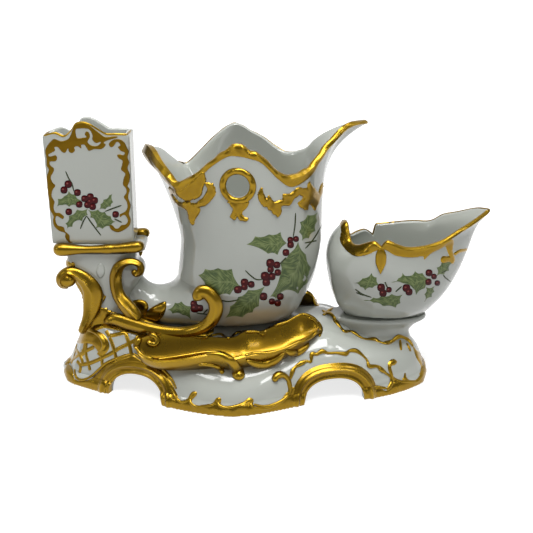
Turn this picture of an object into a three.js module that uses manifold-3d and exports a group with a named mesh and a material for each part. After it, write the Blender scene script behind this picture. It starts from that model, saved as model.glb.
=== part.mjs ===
// A moulded porcelain desk set: a footed base that carries an upright box for stamps or matches,
// a horn-shaped vase, a boat-shaped bowl on a neck, and a shallow pen tray along each long side.
// Lengths are in millimetres, +Z is up, +X runs along the set towards the bowl, and the origin lies
// under the middle of the set on the table. The front half (-Y) is modelled and the rear mirrors it.

import * as THREE from "three";
import { mergeVertices } from "three/addons/utils/BufferGeometryUtils.js";
import Module from "manifold-3d";

// Clearance between neighbouring pieces, and the overrun of a cutter past what it cuts
const seatGap = 0.3;
const overrun = 12;

// The plinth, a hollow mound on four arches
const plinthLength = 216.6;
const plinthLeft = -123.5;
const plinthHalfDepth = 54.4;
const plinthHeight = 38;
const plinthWall = 4;
const footHeight = 4.2;
const footRaise = 1.2;
const footLipShare = 0.7;
const ridgeAcrossShare = 0.45;

// The arches between the feet, and the moulding round each
const archWidth = 35;
const archHeight = 14;
const mouldingWidth = 8;
const mouldingRaise = 1.3;
const leftArchShare = 0.22;
const rightArchShare = 0.737;
const archSquareness = 0.85;

// The horn-shaped vase
const vaseX = -10.6;
const vaseHalfLength = 40.2;
const vaseHalfDepth = 36;
const shoulderRise = 19;
const vaseRimHeight = 65;
const vaseWall = 3;
const hornRise = 28;
const hornPivotShare = 1.328;
const hornInnerRadius = 11;
const hornPivotX = vaseX - hornPivotShare * vaseHalfLength;
const hornPivotHeight = plinthHeight + hornRise;
const vaseShoulderHeight = hornPivotHeight + shoulderRise;

// The pierced holes of the vase and the raised ring round each
const pierceRadius = 6.4;
const pierceRingWidth = 3.3;
const pierceRingRaise = 1.6;
const pierceAcrossShare = -0.157;
const pierceRiseShare = 0.605;
const pierceX = vaseX + pierceAcrossShare * vaseHalfLength;
const pierceHeight = vaseShoulderHeight + pierceRiseShare * vaseRimHeight;

// The pen trays
const trayLeft = -75;
const trayLength = 104;
const trayWidth = 17.5;
const trayHeightShare = 0.868;
const trayHeight = trayHeightShare * plinthHeight;
const trayWall = 1.6;
const trayDepth = 6.5;
const troughFullness = 0.7;

// The bowl and its neck
const bowlPlaceShare = 0.8818;
const bowlX = plinthLeft + bowlPlaceShare * plinthLength;
const bowlHalfLength = 35.2;
const bowlSpoutReach = 57.2;
const bowlHalfDepth = 27.5;
const bowlHeight = 62.5;
const bowlWall = 2.2;
const bowlFloor = 3;
const dropWidth = 6.4;
const dropHeight = 15;
const dropRaise = 1;
const dropOffset = 7;
const dropTopShare = 0.735;
const rearDropTopShare = 0.6;
const neckOffset = 4.3;
const neckHalfLength = 29;
const neckHalfDepth = 13.6;
const neckHeightShare = 1.01;
const neckDrop = 20;
const neckX = bowlX - neckOffset;
const neckHeight = neckHeightShare * plinthHeight;

// The upright box, the ledge under it, and the block under the ledge
const ledgeX = -95.9;
const boxOffset = 3.8;
const boxX = ledgeX - boxOffset;
const boxWidth = 46.2;
const boxFlare = 1;
const boxDepth = 17;
const boxHeight = 61.4;
const boxWall = 2.5;
const boxFloor = 4;
const boxCrest = 7.6;
const ledgeWidth = 50.4;
const ledgeDepth = 20;
const ledgeHeight = 4.4;
const ledgeRise = 13;
const ledgeUnderside = hornPivotHeight + ledgeRise;
const ledgeBevel = 1.5;
const barRadius = 2.8;
const barEndRadius = 3.7;
const barOverhang = 0.5;
const barSag = 0.9;
const barTilt = 1.9;
const barHeightShare = 0.62;
const barSwellPower = 6;
const barEndPower = 16;
const barTipShare = 0.14;
const plateCornerShare = 0.33;
const blockWidth = 40;
const blockDepth = 24;
const blockFootShare = 0.69;
const blockTop = ledgeUnderside - seatGap;
const blockDrop = blockTop - blockFootShare * plinthHeight;

// The scrolls on the block and the horn
const scrollThickness = 5;
const volutePlaneY = 14.5;
const voluteHeight = 36;
const voluteFootX = -68;
const voluteFootShare = 1.053;
const voluteFootHeight = voluteFootShare * plinthHeight;
const voluteStem = 5.8;
const hookLength = 67;
const hookLeft = -94;
const hookFootShare = 0.953;
const hookHeight = hookFootShare * plinthHeight;
const hookPlaneShare = 0.4963;
const hookPlaneY = hookPlaneShare * plinthHalfDepth;
const hookWidth = 8;
const leafHeight = 40;
const leafFootX = -109;
const leafFootShare = 0.789;
const leafFootHeight = leafFootShare * plinthHeight;
const leafPlaneY = 13.5;
const leafWidth = 12.5;

// Places along half of the plinth's edge, from the left tip round the front to the right tip.
// Each row: foot along the length, foot across, shelf along, shelf across, shelf height, ridge
// height, and how much the wall between foot and shelf swells.
const plinthShares = [
  [0, 0, 0.077, 0, 0.94, 0.97, 0.1],
  [0.014, 0.165, 0.083, 0.14, 0.94, 0.97, 0.1],
  [0.038, 0.301, 0.1, 0.24, 0.95, 0.97, 0.15],
  [0.136, 0.517, 0.16, 0.34, 0.95, 0.97, 0.4],
  [0.22, 0.643, 0.235, 0.41, 0.88, 0.95, 0.6],
  [0.291, 0.781, 0.302, 0.5, 0.7, 0.9, 0.8],
  [0.39, 0.938, 0.39, 0.55, 0.66, 0.88, 1],
  [0.472, 1, 0.472, 0.56, 0.66, 0.88, 1],
  [0.54, 0.956, 0.535, 0.54, 0.68, 0.92, 1],
  [0.595, 0.873, 0.59, 0.5, 0.74, 0.95, 1],
  [0.653, 0.781, 0.642, 0.44, 0.83, 0.98, 1],
  [0.737, 0.717, 0.72, 0.35, 0.92, 0.99, 1],
  [0.821, 0.651, 0.802, 0.29, 0.76, 0.8, 1],
  [0.903, 0.515, 0.877, 0.24, 0.65, 0.66, 1],
  [0.97, 0.325, 0.925, 0.165, 0.62, 0.63, 0.9],
  [0.993, 0.165, 0.94, 0.09, 0.62, 0.62, 0.8],
  [1, 0, 0.944, 0, 0.62, 0.62, 0.8],
];

// The horn's fan of sections about its pivot: angle in degrees, outer reach and half depth as
// shares of the vase's half length and half depth
const hornShares = [
  [-204, 0.38, 0.08],
  [-186, 0.46, 0.15],
  [-162, 0.6, 0.22],
  [-138, 0.7, 0.27],
  [-114, 0.77, 0.32],
  [-90, 0.82, 0.38],
  [-66, 0.91, 0.46],
  [-48, 1.12, 0.56],
  [-32, 1.55, 0.68],
  [-20, 2.01, 0.79],
  [-9, 2.15, 0.9],
  [0, 2.25, 0.955],
];

// The vase's rim: degrees from +X, radius as a share of the half length, height of its front as a
// share of the rim's height over the shoulder, the power by which the wall flares towards it, and
// the height of its rear
const vaseRimShares = [
  [0, 1.592, 1.012, 5, 1.012],
  [9, 1.38, 1.015, 4.9, 0.967],
  [18.5, 1.17, 0.9, 4.6, 0.883],
  [28, 1.085, 0.824, 4, 0.803],
  [38, 1.03, 0.75, 3.4, 0.702],
  [54, 0.945, 0.655, 2.4, 0.648],
  [66, 0.905, 0.695, 2.2, 0.692],
  [79, 0.87, 0.822, 2.2, 0.779],
  [90, 0.858, 0.874, 2.2, 0.829],
  [101, 0.846, 0.923, 2.2, 0.889],
  [110, 0.86, 0.88, 2.2, 0.902],
  [122, 0.935, 0.79, 2.2, 0.823],
  [131, 1.04, 0.692, 2, 0.716],
  [141, 1.23, 0.598, 1.8, 0.553],
  [147, 1.29, 0.658, 1.7, 0.56],
  [153, 1.335, 0.73, 1.6, 0.627],
  [165, 1.385, 0.82, 1.5, 0.742],
  [180, 1.452, 0.795, 1.4, 0.795],
];
const vaseLevelShares = [0.18, 0.36, 0.54, 0.7, 0.84, 0.94, 1];

// The bowl from foot to rim: left reach, spout reach and half depth, then the rise of its sides and
// of its ends
const bowlShares = [
  [0.68, 0.416, 0.38, 0, 0],
  [0.8, 0.51, 0.62, 0.07, 0.11],
  [0.9, 0.64, 0.82, 0.21, 0.27],
  [0.97, 0.745, 0.95, 0.42, 0.46],
  [1, 0.815, 1, 0.63, 0.65],
  [0.96, 0.86, 0.99, 0.8, 0.8],
  [0.88, 0.91, 0.98, 0.915, 0.9],
  [0.74, 1, 0.98, 1, 1],
];
// The bowl's rim: degrees from the spout, height of its front and height of its rear
const bowlRimShares = [
  [0, 0.99, 0.99],
  [14, 0.968, 0.99],
  [28, 0.938, 0.975],
  [45, 0.88, 0.902],
  [53, 0.84, 0.862],
  [61, 0.797, 0.785],
  [72, 0.766, 0.768],
  [83, 0.765, 0.743],
  [91, 0.808, 0.727],
  [98, 0.826, 0.719],
  [102, 0.804, 0.62],
  [106.5, 0.772, 0.643],
  [115, 0.807, 0.68],
  [127, 0.775, 0.676],
  [140, 0.736, 0.668],
  [154, 0.745, 0.715],
  [163, 0.83, 0.82],
  [169, 0.886, 0.86],
  [180, 0.887, 0.887],
];

// The tray from left to right: place along it, middle as a share of the plinth's half depth, width,
// height of the back rim, of the front rim, and depth of the trough
const trayShares = [
  [0, 0.624, 0.12, 1.03, 1, 0.1],
  [0.04, 0.634, 0.42, 1.09, 0.88, 0.6],
  [0.12, 0.663, 0.7, 1.15, 0.85, 0.85],
  [0.22, 0.685, 0.84, 1.14, 0.89, 0.95],
  [0.33, 0.695, 0.95, 1.1, 0.98, 1],
  [0.43, 0.698, 1.01, 1.07, 1.04, 1],
  [0.52, 0.695, 1.02, 1.06, 0.96, 0.95],
  [0.59, 0.676, 1, 1.16, 0.99, 1],
  [0.68, 0.631, 0.94, 1.15, 1, 0.95],
  [0.79, 0.573, 0.92, 1.264, 1.017, 0.95],
  [0.89, 0.499, 0.8, 1.373, 1.094, 0.75],
  [0.96, 0.415, 0.5, 1.3, 1.146, 0.5],
  [1, 0.386, 0.12, 1.12, 1.12, 0.1],
];

// Scroll routes: along, up, forward of the scroll's plane, and width
const voluteShares = [
  [-0.14, 0.084, 0.18, 0.59],
  [-0.262, 0.182, 0.17, 1.07],
  [-0.37, 0.297, 0.14, 1.12],
  [-0.474, 0.425, 0.08, 0.98],
  [-0.525, 0.583, 0.03, 0.93],
  [-0.527, 0.739, 0, 0.9],
  [-0.475, 0.882, 0, 0.8],
  [-0.37, 0.963, 0, 0.62],
  [-0.244, 0.98, 0, 0.52],
  [-0.14, 0.93, 0.01, 0.54],
  [-0.131, 0.831, 0.02, 0.52],
  [-0.203, 0.788, 0.03, 0.49],
  [-0.242, 0.855, 0.04, 0.45],
];
const hookShares = [
  [-0.012, 0.052, -0.14, 0.29],
  [0.079, 0.089, -0.12, 0.71],
  [0.219, 0.065, -0.08, 0.78],
  [0.377, 0.041, -0.03, 0.71],
  [0.531, 0.027, 0, 0.67],
  [0.684, 0.031, 0.02, 0.67],
  [0.813, 0.072, 0.05, 0.7],
  [0.907, 0.144, 0.07, 0.76],
  [0.956, 0.239, 0.08, 0.8],
  [0.951, 0.328, 0.08, 0.81],
  [0.905, 0.394, 0.07, 0.82],
  [0.847, 0.408, 0.06, 0.82],
  [0.817, 0.372, 0.06, 0.72],
  [0.817, 0.332, 0.07, 0.48],
];
const leafShares = [
  [-0.128, 0.746, 0, 0.23],
  [-0.217, 0.785, 0, 0.41],
  [-0.223, 0.883, 0, 0.48],
  [-0.124, 0.974, 0, 0.45],
  [0, 0.936, 0, 0.59],
  [0.137, 0.823, 0.02, 0.77],
  [0.213, 0.659, 0.03, 0.91],
  [0.189, 0.467, 0.05, 0.82],
  [0.125, 0.279, 0.08, 0.55],
  [0.013, 0.068, 0.1, 0.37],
];

// The block from its top down: drop, left and right edges about the ledge's middle, half depth
const blockShares = [
  [0, -0.49, 0.51, 1],
  [0.12, -0.5, 0.5, 1],
  [0.2, -0.48, 0.575, 1.02],
  [0.28, -0.45, 0.585, 1.02],
  [0.36, -0.41, 0.52, 1.02],
  [0.52, -0.32, 0.41, 1.04],
  [0.72, -0.3, 0.37, 1.12],
  [1, -0.3, 0.37, 1.2],
];
// The neck under the bowl, from its flange down: drop, reach to the left and right, half depth
const neckShares = [
  [0, 0.985, 0.985, 0.97],
  [0.06, 1, 1, 1],
  [0.14, 0.985, 0.98, 0.97],
  [0.3, 0.9, 0.8, 0.86],
  [0.5, 0.86, 0.68, 0.84],
  [0.7, 0.86, 0.7, 0.98],
  [0.9, 0.88, 0.76, 1.25],
  [1, 0.9, 0.8, 1.4],
];
// The box's wavy top edge from left to right: place across the width, and height
const crestShares = [
  [0, 0],
  [0.14, 0.24],
  [0.25, 0.02],
  [0.34, 0.45],
  [0.39, 0.88],
  [0.47, 1],
  [0.56, 0.84],
  [0.65, 0.5],
  [0.74, 0.18],
  [0.83, 0.16],
  [1, 0.12],
];

// How finely the pieces are divided
const plinthSteps = 32;
const wallSteps = 5;
const roundSteps = 36;
const bowlSteps = 32;
const blockSteps = 24;
const traySteps = 22;
const troughSteps = 5;
const scrollSteps = 20;
const barSteps = 14;
const scrollSides = 8;
const archSteps = 14;
const crestSteps = 30;
const searchSteps = 30;
const placeStep = 0.01;
const archPlaceStep = 0.002;
const mergeDistance = 1e-4;

const wasm = await Module();
wasm.setup();

// Turns a geometry into a solid, with its shared corners merged
function toSolid(geometry) {
  const bare = geometry.clone();
  bare.deleteAttribute("normal");
  bare.deleteAttribute("uv");
  const merged = mergeVertices(bare, mergeDistance);
  return new wasm.Manifold(
    new wasm.Mesh({
      numProp: 3,
      vertProperties: new Float32Array(merged.attributes.position.array),
      triVerts: new Uint32Array(merged.index.array),
    }),
  );
}

// Turns a solid back into a geometry
function toGeometry(solid) {
  const mesh = solid.getMesh();
  const geometry = new THREE.BufferGeometry();
  geometry.setAttribute("position", new THREE.BufferAttribute(new Float32Array(mesh.vertProperties), 3));
  geometry.setIndex(new THREE.BufferAttribute(new Uint32Array(mesh.triVerts), 1));
  const flat = geometry.toNonIndexed();
  flat.computeVertexNormals();
  return flat;
}

// The mirror image at the rear
function mirroredSolid(solid) {
  const mesh = solid.getMesh();
  const vertProperties = new Float32Array(mesh.vertProperties);
  for (let i = 1; i < vertProperties.length; i += 3) {
    vertProperties[i] = -vertProperties[i];
  }
  const triVerts = new Uint32Array(mesh.triVerts).reverse();
  return new wasm.Manifold(new wasm.Mesh({ numProp: 3, vertProperties, triVerts }));
}

// Keeps the largest of the pieces that a cut leaves
function largest(solid) {
  const pieces = solid.decompose();
  return pieces.reduce((best, piece) => (piece.volume() > best.volume() ? piece : best));
}

// Signed volume of an indexed mesh, to turn its faces outwards
function signedVolume(points, faces) {
  let total = 0;
  for (const [a, b, c] of faces) {
    total += points[a].dot(new THREE.Vector3().crossVectors(points[b], points[c])) / 6;
  }
  return total;
}

// Joins rings of equally many points into one closed solid. Each ring's point i faces its point
// (count - i), and both end rings are closed by strips between such points. The two halves of a
// ring are split into triangles as mirror images, so a symmetric solid is truly symmetric.
function loft(rings) {
  const count = rings[0].length;
  const half = count / 2;
  const points = rings.flat();
  const faces = [];
  for (let ring = 0; ring + 1 < rings.length; ring++) {
    for (let i = 0; i < count; i++) {
      const next = (i + 1) % count;
      const a = ring * count + i;
      const b = ring * count + next;
      if (i < half) {
        faces.push([a, b, b + count], [a, b + count, a + count]);
      } else {
        faces.push([a, b, a + count], [b, b + count, a + count]);
      }
    }
  }
  const last = (rings.length - 1) * count;
  for (let i = 0; i < half; i++) {
    const a = i;
    const b = i + 1;
    const c = (count - i - 1) % count;
    const d = (count - i) % count;
    if (b !== c) {
      faces.push([b, a, c], [last + a, last + b, last + c]);
    }
    if (a !== d) {
      faces.push([c, a, d], [last + a, last + c, last + d]);
    }
  }
  const outward = signedVolume(points, faces) > 0;
  const geometry = new THREE.BufferGeometry().setFromPoints(points);
  geometry.setIndex(faces.flatMap(([a, b, c]) => (outward ? [a, b, c] : [a, c, b])));
  return toSolid(geometry);
}

// A smooth line through rows of numbers, at a place from 0 to 1 along the rows
function smoothRow(rows, place) {
  const at = Math.min(place, 1) * (rows.length - 1);
  const i = Math.min(Math.floor(at), rows.length - 2);
  const t = at - i;
  const before = rows[Math.max(i - 1, 0)];
  const after = rows[Math.min(i + 2, rows.length - 1)];
  return rows[i].map((start, column) => {
    const end = rows[i + 1][column];
    const leave = (end - before[column]) / 2;
    const arrive = (after[column] - start) / 2;
    const bend = 3 * (end - start) - 2 * leave - arrive;
    return start + t * (leave + t * (bend + t * (leave + arrive - 2 * (end - start))));
  });
}

// The same line, looked up by its first column, which rises from row to row
function smoothAt(rows, key) {
  let low = 0;
  let high = 1;
  for (let step = 0; step < searchSteps; step++) {
    const middle = (low + high) / 2;
    if (smoothRow(rows, middle)[0] < key) {
      low = middle;
    } else {
      high = middle;
    }
  }
  return smoothRow(rows, low);
}

// A closed ring from the points of its front half, mirrored to the rear
function mirroredRing(frontHalf) {
  const rear = frontHalf.slice(1, -1).reverse();
  return [...frontHalf, ...rear.map((p) => new THREE.Vector3(p.x, -p.y, p.z))];
}

// An extruded outline, put in place by a matrix
function prism(shape, depth, matrix) {
  const options = { depth, bevelEnabled: false, curveSegments: archSteps };
  const geometry = new THREE.ExtrudeGeometry(shape, options);
  geometry.applyMatrix4(matrix);
  return toSolid(geometry);
}

// A frame whose X runs along a wall, Y up and Z out of the wall
function wallFrame(origin, outward) {
  const up = new THREE.Vector3(0, 0, 1);
  const along = new THREE.Vector3().crossVectors(up, outward);
  return new THREE.Matrix4().makeBasis(along, up, outward).setPosition(origin);
}

const towardsFront = new THREE.Vector3(0, -1, 0);

// The plinth

// A point on the plinth's foot line, grown outwards
function footPoint(place, grow) {
  const here = smoothRow(plinthShares, place);
  const before = smoothRow(plinthShares, Math.max(place - placeStep, 0));
  const after = smoothRow(plinthShares, Math.min(place + placeStep, 1));
  const tangent = new THREE.Vector2(
    (after[0] - before[0]) * plinthLength,
    (before[1] - after[1]) * plinthHalfDepth,
  );
  if (place === 0) {
    tangent.set(0, -1);
  }
  if (place === 1) {
    tangent.set(0, 1);
  }
  tangent.normalize();
  return new THREE.Vector3(
    plinthLeft + here[0] * plinthLength + tangent.y * grow,
    -here[1] * plinthHalfDepth - tangent.x * grow,
    0,
  );
}

// A point on the plinth's wall: rise 0 at the foot and 1 at the shelf
function plinthPoint(place, rise, grow) {
  const here = smoothRow(plinthShares, place);
  const foot = footPoint(place, grow);
  const turn = (rise * Math.PI) / 2;
  const inward = here[6] * (1 - Math.cos(turn)) + (1 - here[6]) * Math.sin(turn);
  const shelfX = plinthLeft + here[2] * plinthLength;
  const shelfY = -here[3] * plinthHalfDepth;
  return new THREE.Vector3(
    foot.x + (shelfX - foot.x) * inward,
    foot.y + (shelfY - foot.y) * inward,
    Math.sin(turn) * (here[4] * plinthHeight + grow),
  );
}

function ridgePoint(place, grow) {
  const here = smoothRow(plinthShares, place);
  return new THREE.Vector3(
    plinthLeft + here[2] * plinthLength,
    -here[3] * plinthHalfDepth * ridgeAcrossShare,
    here[5] * plinthHeight + grow,
  );
}

function plinthRing(pointAt) {
  const half = [];
  for (let i = 0; i <= plinthSteps; i++) {
    half.push(pointAt(i / plinthSteps));
  }
  return mirroredRing(half);
}

// The plinth as one filled mound, also grown a little for cutting its neighbours to its surface
function plinthMound(grow, bottom) {
  const rings = [plinthRing((place) => footPoint(place, footRaise + grow).setZ(bottom))];
  const lipHeight = footHeight * footLipShare + grow;
  rings.push(plinthRing((place) => footPoint(place, footRaise + grow).setZ(lipHeight)));
  rings.push(plinthRing((place) => footPoint(place, footRaise / 2 + grow).setZ(footHeight + grow)));
  for (let step = 1; step <= wallSteps; step++) {
    rings.push(plinthRing((place) => plinthPoint(place, step / wallSteps, grow)));
  }
  rings.push(plinthRing((place) => ridgePoint(place, grow)));
  return loft(rings);
}

function plinthShell() {
  const hollow = [plinthRing((place) => footPoint(place, -plinthWall).setZ(-overrun))];
  for (let step = 0; step <= wallSteps; step++) {
    hollow.push(plinthRing((place) => plinthPoint(place, step / wallSteps, -plinthWall)));
  }
  hollow.push(plinthRing((place) => ridgePoint(place, -plinthWall)));
  return plinthMound(0, 0).subtract(loft(hollow));
}

// The arch openings

function archShape(grow) {
  const shape = new THREE.Shape();
  const halfWidth = archWidth / 2 + grow;
  const height = archHeight + grow;
  shape.moveTo(halfWidth, -overrun);
  for (let step = 0; step <= archSteps; step++) {
    const turn = (step * Math.PI) / archSteps;
    const x = Math.sign(Math.cos(turn)) * Math.pow(Math.abs(Math.cos(turn)), archSquareness) * halfWidth;
    shape.lineTo(x, Math.pow(Math.sin(turn), archSquareness) * height);
  }
  shape.lineTo(-halfWidth, -overrun);
  shape.closePath();
  return shape;
}

function archPrism(archShare, grow) {
  let place = 0;
  while (smoothRow(plinthShares, place)[0] < archShare) {
    place += archPlaceStep;
  }
  const foot = footPoint(place, 0);
  const outward = footPoint(place, 1).sub(foot);
  const reach = plinthHalfDepth / 2;
  const start = foot.clone().addScaledVector(outward, -reach);
  return prism(archShape(grow), reach + overrun, wallFrame(start, outward));
}

// The vase

// The ring of the horn's fan at a row of its table
function hornRing(row, grow) {
  const [angle, reach, halfDepth] = row;
  const turn = (angle * Math.PI) / 180;
  const inner = hornInnerRadius - grow;
  const outer = reach * vaseHalfLength + grow;
  const middle = (inner + outer) / 2;
  const half = (outer - inner) / 2;
  const ring = [];
  for (let i = 0; i < roundSteps; i++) {
    const around = (i * 2 * Math.PI) / roundSteps;
    const out = middle + half * Math.cos(around);
    ring.push(
      new THREE.Vector3(
        hornPivotX + out * Math.cos(turn),
        (halfDepth * vaseHalfDepth + grow) * -Math.sin(around),
        hornPivotHeight + out * Math.sin(turn),
      ),
    );
  }
  return ring;
}

// The ring of the flaring upper part, level 0 at the shoulder and 1 at the rim
function flareRing(level, grow) {
  const ring = [];
  for (let i = 0; i < roundSteps; i++) {
    const around = (i * 2 * Math.PI) / roundSteps;
    const degrees = (Math.min(around, 2 * Math.PI - around) * 180) / Math.PI;
    const [, rimRadius, frontHeight, power, rearHeight] = smoothAt(vaseRimShares, degrees);
    const rimHeight = around < Math.PI ? frontHeight : rearHeight;
    const c = Math.cos(around);
    const s = Math.sin(around);
    const bodyRadius =
      (vaseHalfLength * vaseHalfDepth) / Math.hypot(vaseHalfDepth * c, vaseHalfLength * s);
    const flare = Math.pow(level, power);
    const radius = bodyRadius + (rimRadius * vaseHalfLength - bodyRadius) * flare + grow;
    ring.push(
      new THREE.Vector3(
        vaseX + radius * c,
        -radius * s,
        vaseShoulderHeight + level * rimHeight * vaseRimHeight,
      ),
    );
  }
  return ring;
}

function vaseRings(grow, firstHorn) {
  const rings = hornShares.slice(firstHorn).map((row) => hornRing(row, grow));
  rings.push(flareRing(0, grow));
  for (const level of vaseLevelShares) {
    rings.push(flareRing(level, grow));
  }
  return rings;
}

function vaseFilled(grow) {
  return loft(vaseRings(grow, 0));
}

const hornFloorRow = 8;

function vaseShell() {
  const inside = vaseRings(-vaseWall, hornFloorRow).reverse();
  const rimIn = flareRing(1, -vaseWall / 2).map((p) => p.setZ(p.z + vaseWall / 4));
  const outside = vaseRings(0, 0);
  return loft([...outside, rimIn, ...inside]);
}

function ringShape(outerRadius, innerRadius) {
  const shape = new THREE.Shape();
  shape.absarc(0, 0, outerRadius, 0, 2 * Math.PI, false);
  if (innerRadius > 0) {
    const hole = new THREE.Path();
    hole.absarc(0, 0, innerRadius, 0, 2 * Math.PI, true);
    shape.holes.push(hole);
  }
  return shape;
}

function piercing(shape, reach) {
  const origin = new THREE.Vector3(pierceX, 0, pierceHeight);
  return prism(shape, reach, wallFrame(origin, towardsFront));
}

// Scrolls: a flattened, ridged section carried along a route and tapered by its width

function scroll(rows, size, origin, width, grow) {
  const rings = [];
  for (let step = 0; step <= scrollSteps; step++) {
    const place = step / scrollSteps;
    const here = smoothRow(rows, place);
    const before = smoothRow(rows, Math.max(place - placeStep, 0));
    const after = smoothRow(rows, Math.min(place + placeStep, 1));
    const tangent = new THREE.Vector3(after[0] - before[0], before[2] - after[2], after[1] - before[1]);
    tangent.normalize();
    const side = new THREE.Vector3().crossVectors(tangent, towardsFront).normalize();
    const raised = new THREE.Vector3().crossVectors(side, tangent);
    const centre = new THREE.Vector3(here[0] * size, -here[2] * size, here[1] * size).add(origin);
    const halfWidth = (here[3] * width) / 2 + grow;
    const halfThick = Math.min(scrollThickness / 2 + grow, halfWidth);
    const ring = [];
    for (let i = 0; i < scrollSides; i++) {
      const around = (i * 2 * Math.PI) / scrollSides;
      ring.push(
        centre
          .clone()
          .addScaledVector(side, halfWidth * Math.cos(around))
          .addScaledVector(raised, halfThick * Math.sin(around)),
      );
    }
    rings.push(ring);
  }
  return loft(rings);
}

// The pen tray

function traySection(place, deeper) {
  const [along, middle, width, back, front, depth] = smoothRow(trayShares, place);
  const x = trayLeft + along * trayLength;
  const centreY = -middle * plinthHalfDepth;
  const half = (width * trayWidth) / 2;
  const inner = [];
  const outer = [];
  for (let i = 0; i <= troughSteps; i++) {
    const t = i / troughSteps;
    const rimZ = (back + (front - back) * t) * trayHeight;
    const belly = Math.pow(Math.sin(Math.PI * t), troughFullness);
    const y = centreY + half * (1 - 2 * t);
    const outY = centreY + (half + trayWall) * (1 - 2 * t);
    inner.push(new THREE.Vector3(x, y, rimZ - depth * trayDepth * belly));
    outer.push(new THREE.Vector3(x, outY, rimZ - trayWall / 2 - depth * (trayDepth + deeper) * belly));
  }
  return [...inner, ...outer.reverse()];
}

function traySolid() {
  const rings = [];
  for (let step = 0; step <= traySteps; step++) {
    rings.push(traySection(step / traySteps, trayDepth));
  }
  return loft(rings);
}

// The bowl

const bowlFootHeight = neckHeight + seatGap;

function bowlRing(row, grow, lift) {
  const [left, right, depth, sideRise, endRise] = row;
  const ring = [];
  for (let i = 0; i < bowlSteps; i++) {
    const around = (i * 2 * Math.PI) / bowlSteps;
    const degrees = (Math.min(around, 2 * Math.PI - around) * 180) / Math.PI;
    const rim = smoothAt(bowlRimShares, degrees)[around < Math.PI ? 1 : 2] * bowlHeight;
    const c = Math.cos(around);
    const s = Math.sin(around);
    const reach = c > 0 ? right * bowlSpoutReach : left * bowlHalfLength;
    const pointed = c > 0 ? 1 + sideRise : 1;
    const rise = sideRise + (endRise - sideRise) * c * c;
    ring.push(
      new THREE.Vector3(
        bowlX + (reach + grow) * c,
        -Math.sign(s) * Math.pow(Math.abs(s), pointed) * (depth * bowlHalfDepth + grow),
        bowlFootHeight + rise * rim + lift,
      ),
    );
  }
  return ring;
}

function bowlRings(grow) {
  return bowlShares.map((row) => bowlRing(row, grow, 0));
}

function bowlShell() {
  const inside = bowlShares.map((row, i) => {
    const settled = i === 0 ? bowlFloor : bowlFloor * Math.max(0, 1 - row[3] * 2);
    return bowlRing(row, -bowlWall, settled);
  });
  const rimMiddle = bowlRing(bowlShares[bowlShares.length - 1], -bowlWall / 2, bowlWall / 4);
  return loft([...bowlRings(0), rimMiddle, ...inside.reverse()]);
}

// The raised drop under the notch of the bowl's rim
function dropShape() {
  const half = dropWidth / 2;
  const shape = new THREE.Shape();
  shape.moveTo(0, -dropHeight);
  shape.quadraticCurveTo(half, -dropHeight / 2, half, -half);
  shape.absarc(0, -half, half, 0, Math.PI, false);
  shape.quadraticCurveTo(-half, -dropHeight / 2, 0, -dropHeight);
  return shape;
}

function neckRing(row) {
  const [drop, left, right, depth] = row;
  const ring = [];
  for (let i = 0; i < blockSteps; i++) {
    const around = (i * 2 * Math.PI) / blockSteps;
    const length = Math.cos(around) > 0 ? right : left;
    ring.push(
      new THREE.Vector3(
        neckX + length * neckHalfLength * Math.cos(around),
        -depth * neckHalfDepth * Math.sin(around),
        neckHeight - drop * neckDrop,
      ),
    );
  }
  return ring;
}

// The upright box

function boxOutline() {
  const shape = new THREE.Shape();
  shape.moveTo(boxWidth / 2, 0);
  for (let step = 0; step <= crestSteps; step++) {
    const [across, height] = smoothAt(crestShares, 1 - step / crestSteps);
    shape.lineTo((across - 0.5) * (boxWidth + boxFlare), boxHeight + height * boxCrest);
  }
  shape.lineTo(-boxWidth / 2, 0);
  shape.closePath();
  return shape;
}

const boxBase = ledgeUnderside + ledgeHeight + seatGap;

function boxShell() {
  const outerFrame = wallFrame(new THREE.Vector3(boxX, boxDepth / 2, boxBase), towardsFront);
  const outside = prism(boxOutline(), boxDepth, outerFrame);
  const roomHeight = boxHeight + 2 * boxCrest;
  const room = new THREE.BoxGeometry(boxWidth - 2 * boxWall, boxDepth - 2 * boxWall, roomHeight);
  room.translate(boxX, 0, boxBase + boxFloor + boxHeight / 2 + boxCrest);
  return outside.subtract(toSolid(room));
}

// A plate with rounded corners and a bevelled edge
function platePrism(grow) {
  const halfLength = ledgeWidth / 2 - ledgeBevel;
  const halfDepth = ledgeDepth / 2 - ledgeBevel;
  const corner = halfDepth * plateCornerShare;
  const shape = new THREE.Shape();
  shape.moveTo(-halfLength + corner, -halfDepth);
  shape.lineTo(halfLength - corner, -halfDepth);
  shape.quadraticCurveTo(halfLength, -halfDepth, halfLength, -halfDepth + corner);
  shape.quadraticCurveTo(halfLength + ledgeBevel, 0, halfLength, halfDepth - corner);
  shape.quadraticCurveTo(halfLength, halfDepth, halfLength - corner, halfDepth);
  shape.lineTo(-halfLength + corner, halfDepth);
  shape.quadraticCurveTo(-halfLength, halfDepth, -halfLength, halfDepth - corner);
  shape.quadraticCurveTo(-halfLength - ledgeBevel, 0, -halfLength, -halfDepth + corner);
  shape.quadraticCurveTo(-halfLength, -halfDepth, -halfLength + corner, -halfDepth);
  const geometry = new THREE.ExtrudeGeometry(shape, {
    depth: ledgeHeight - 2 * ledgeBevel,
    bevelThickness: ledgeBevel + grow,
    bevelSize: ledgeBevel + grow,
    bevelSegments: 3,
    curveSegments: 5,
  });
  geometry.translate(ledgeX, 0, ledgeUnderside + ledgeBevel);
  return toSolid(geometry);
}

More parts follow.
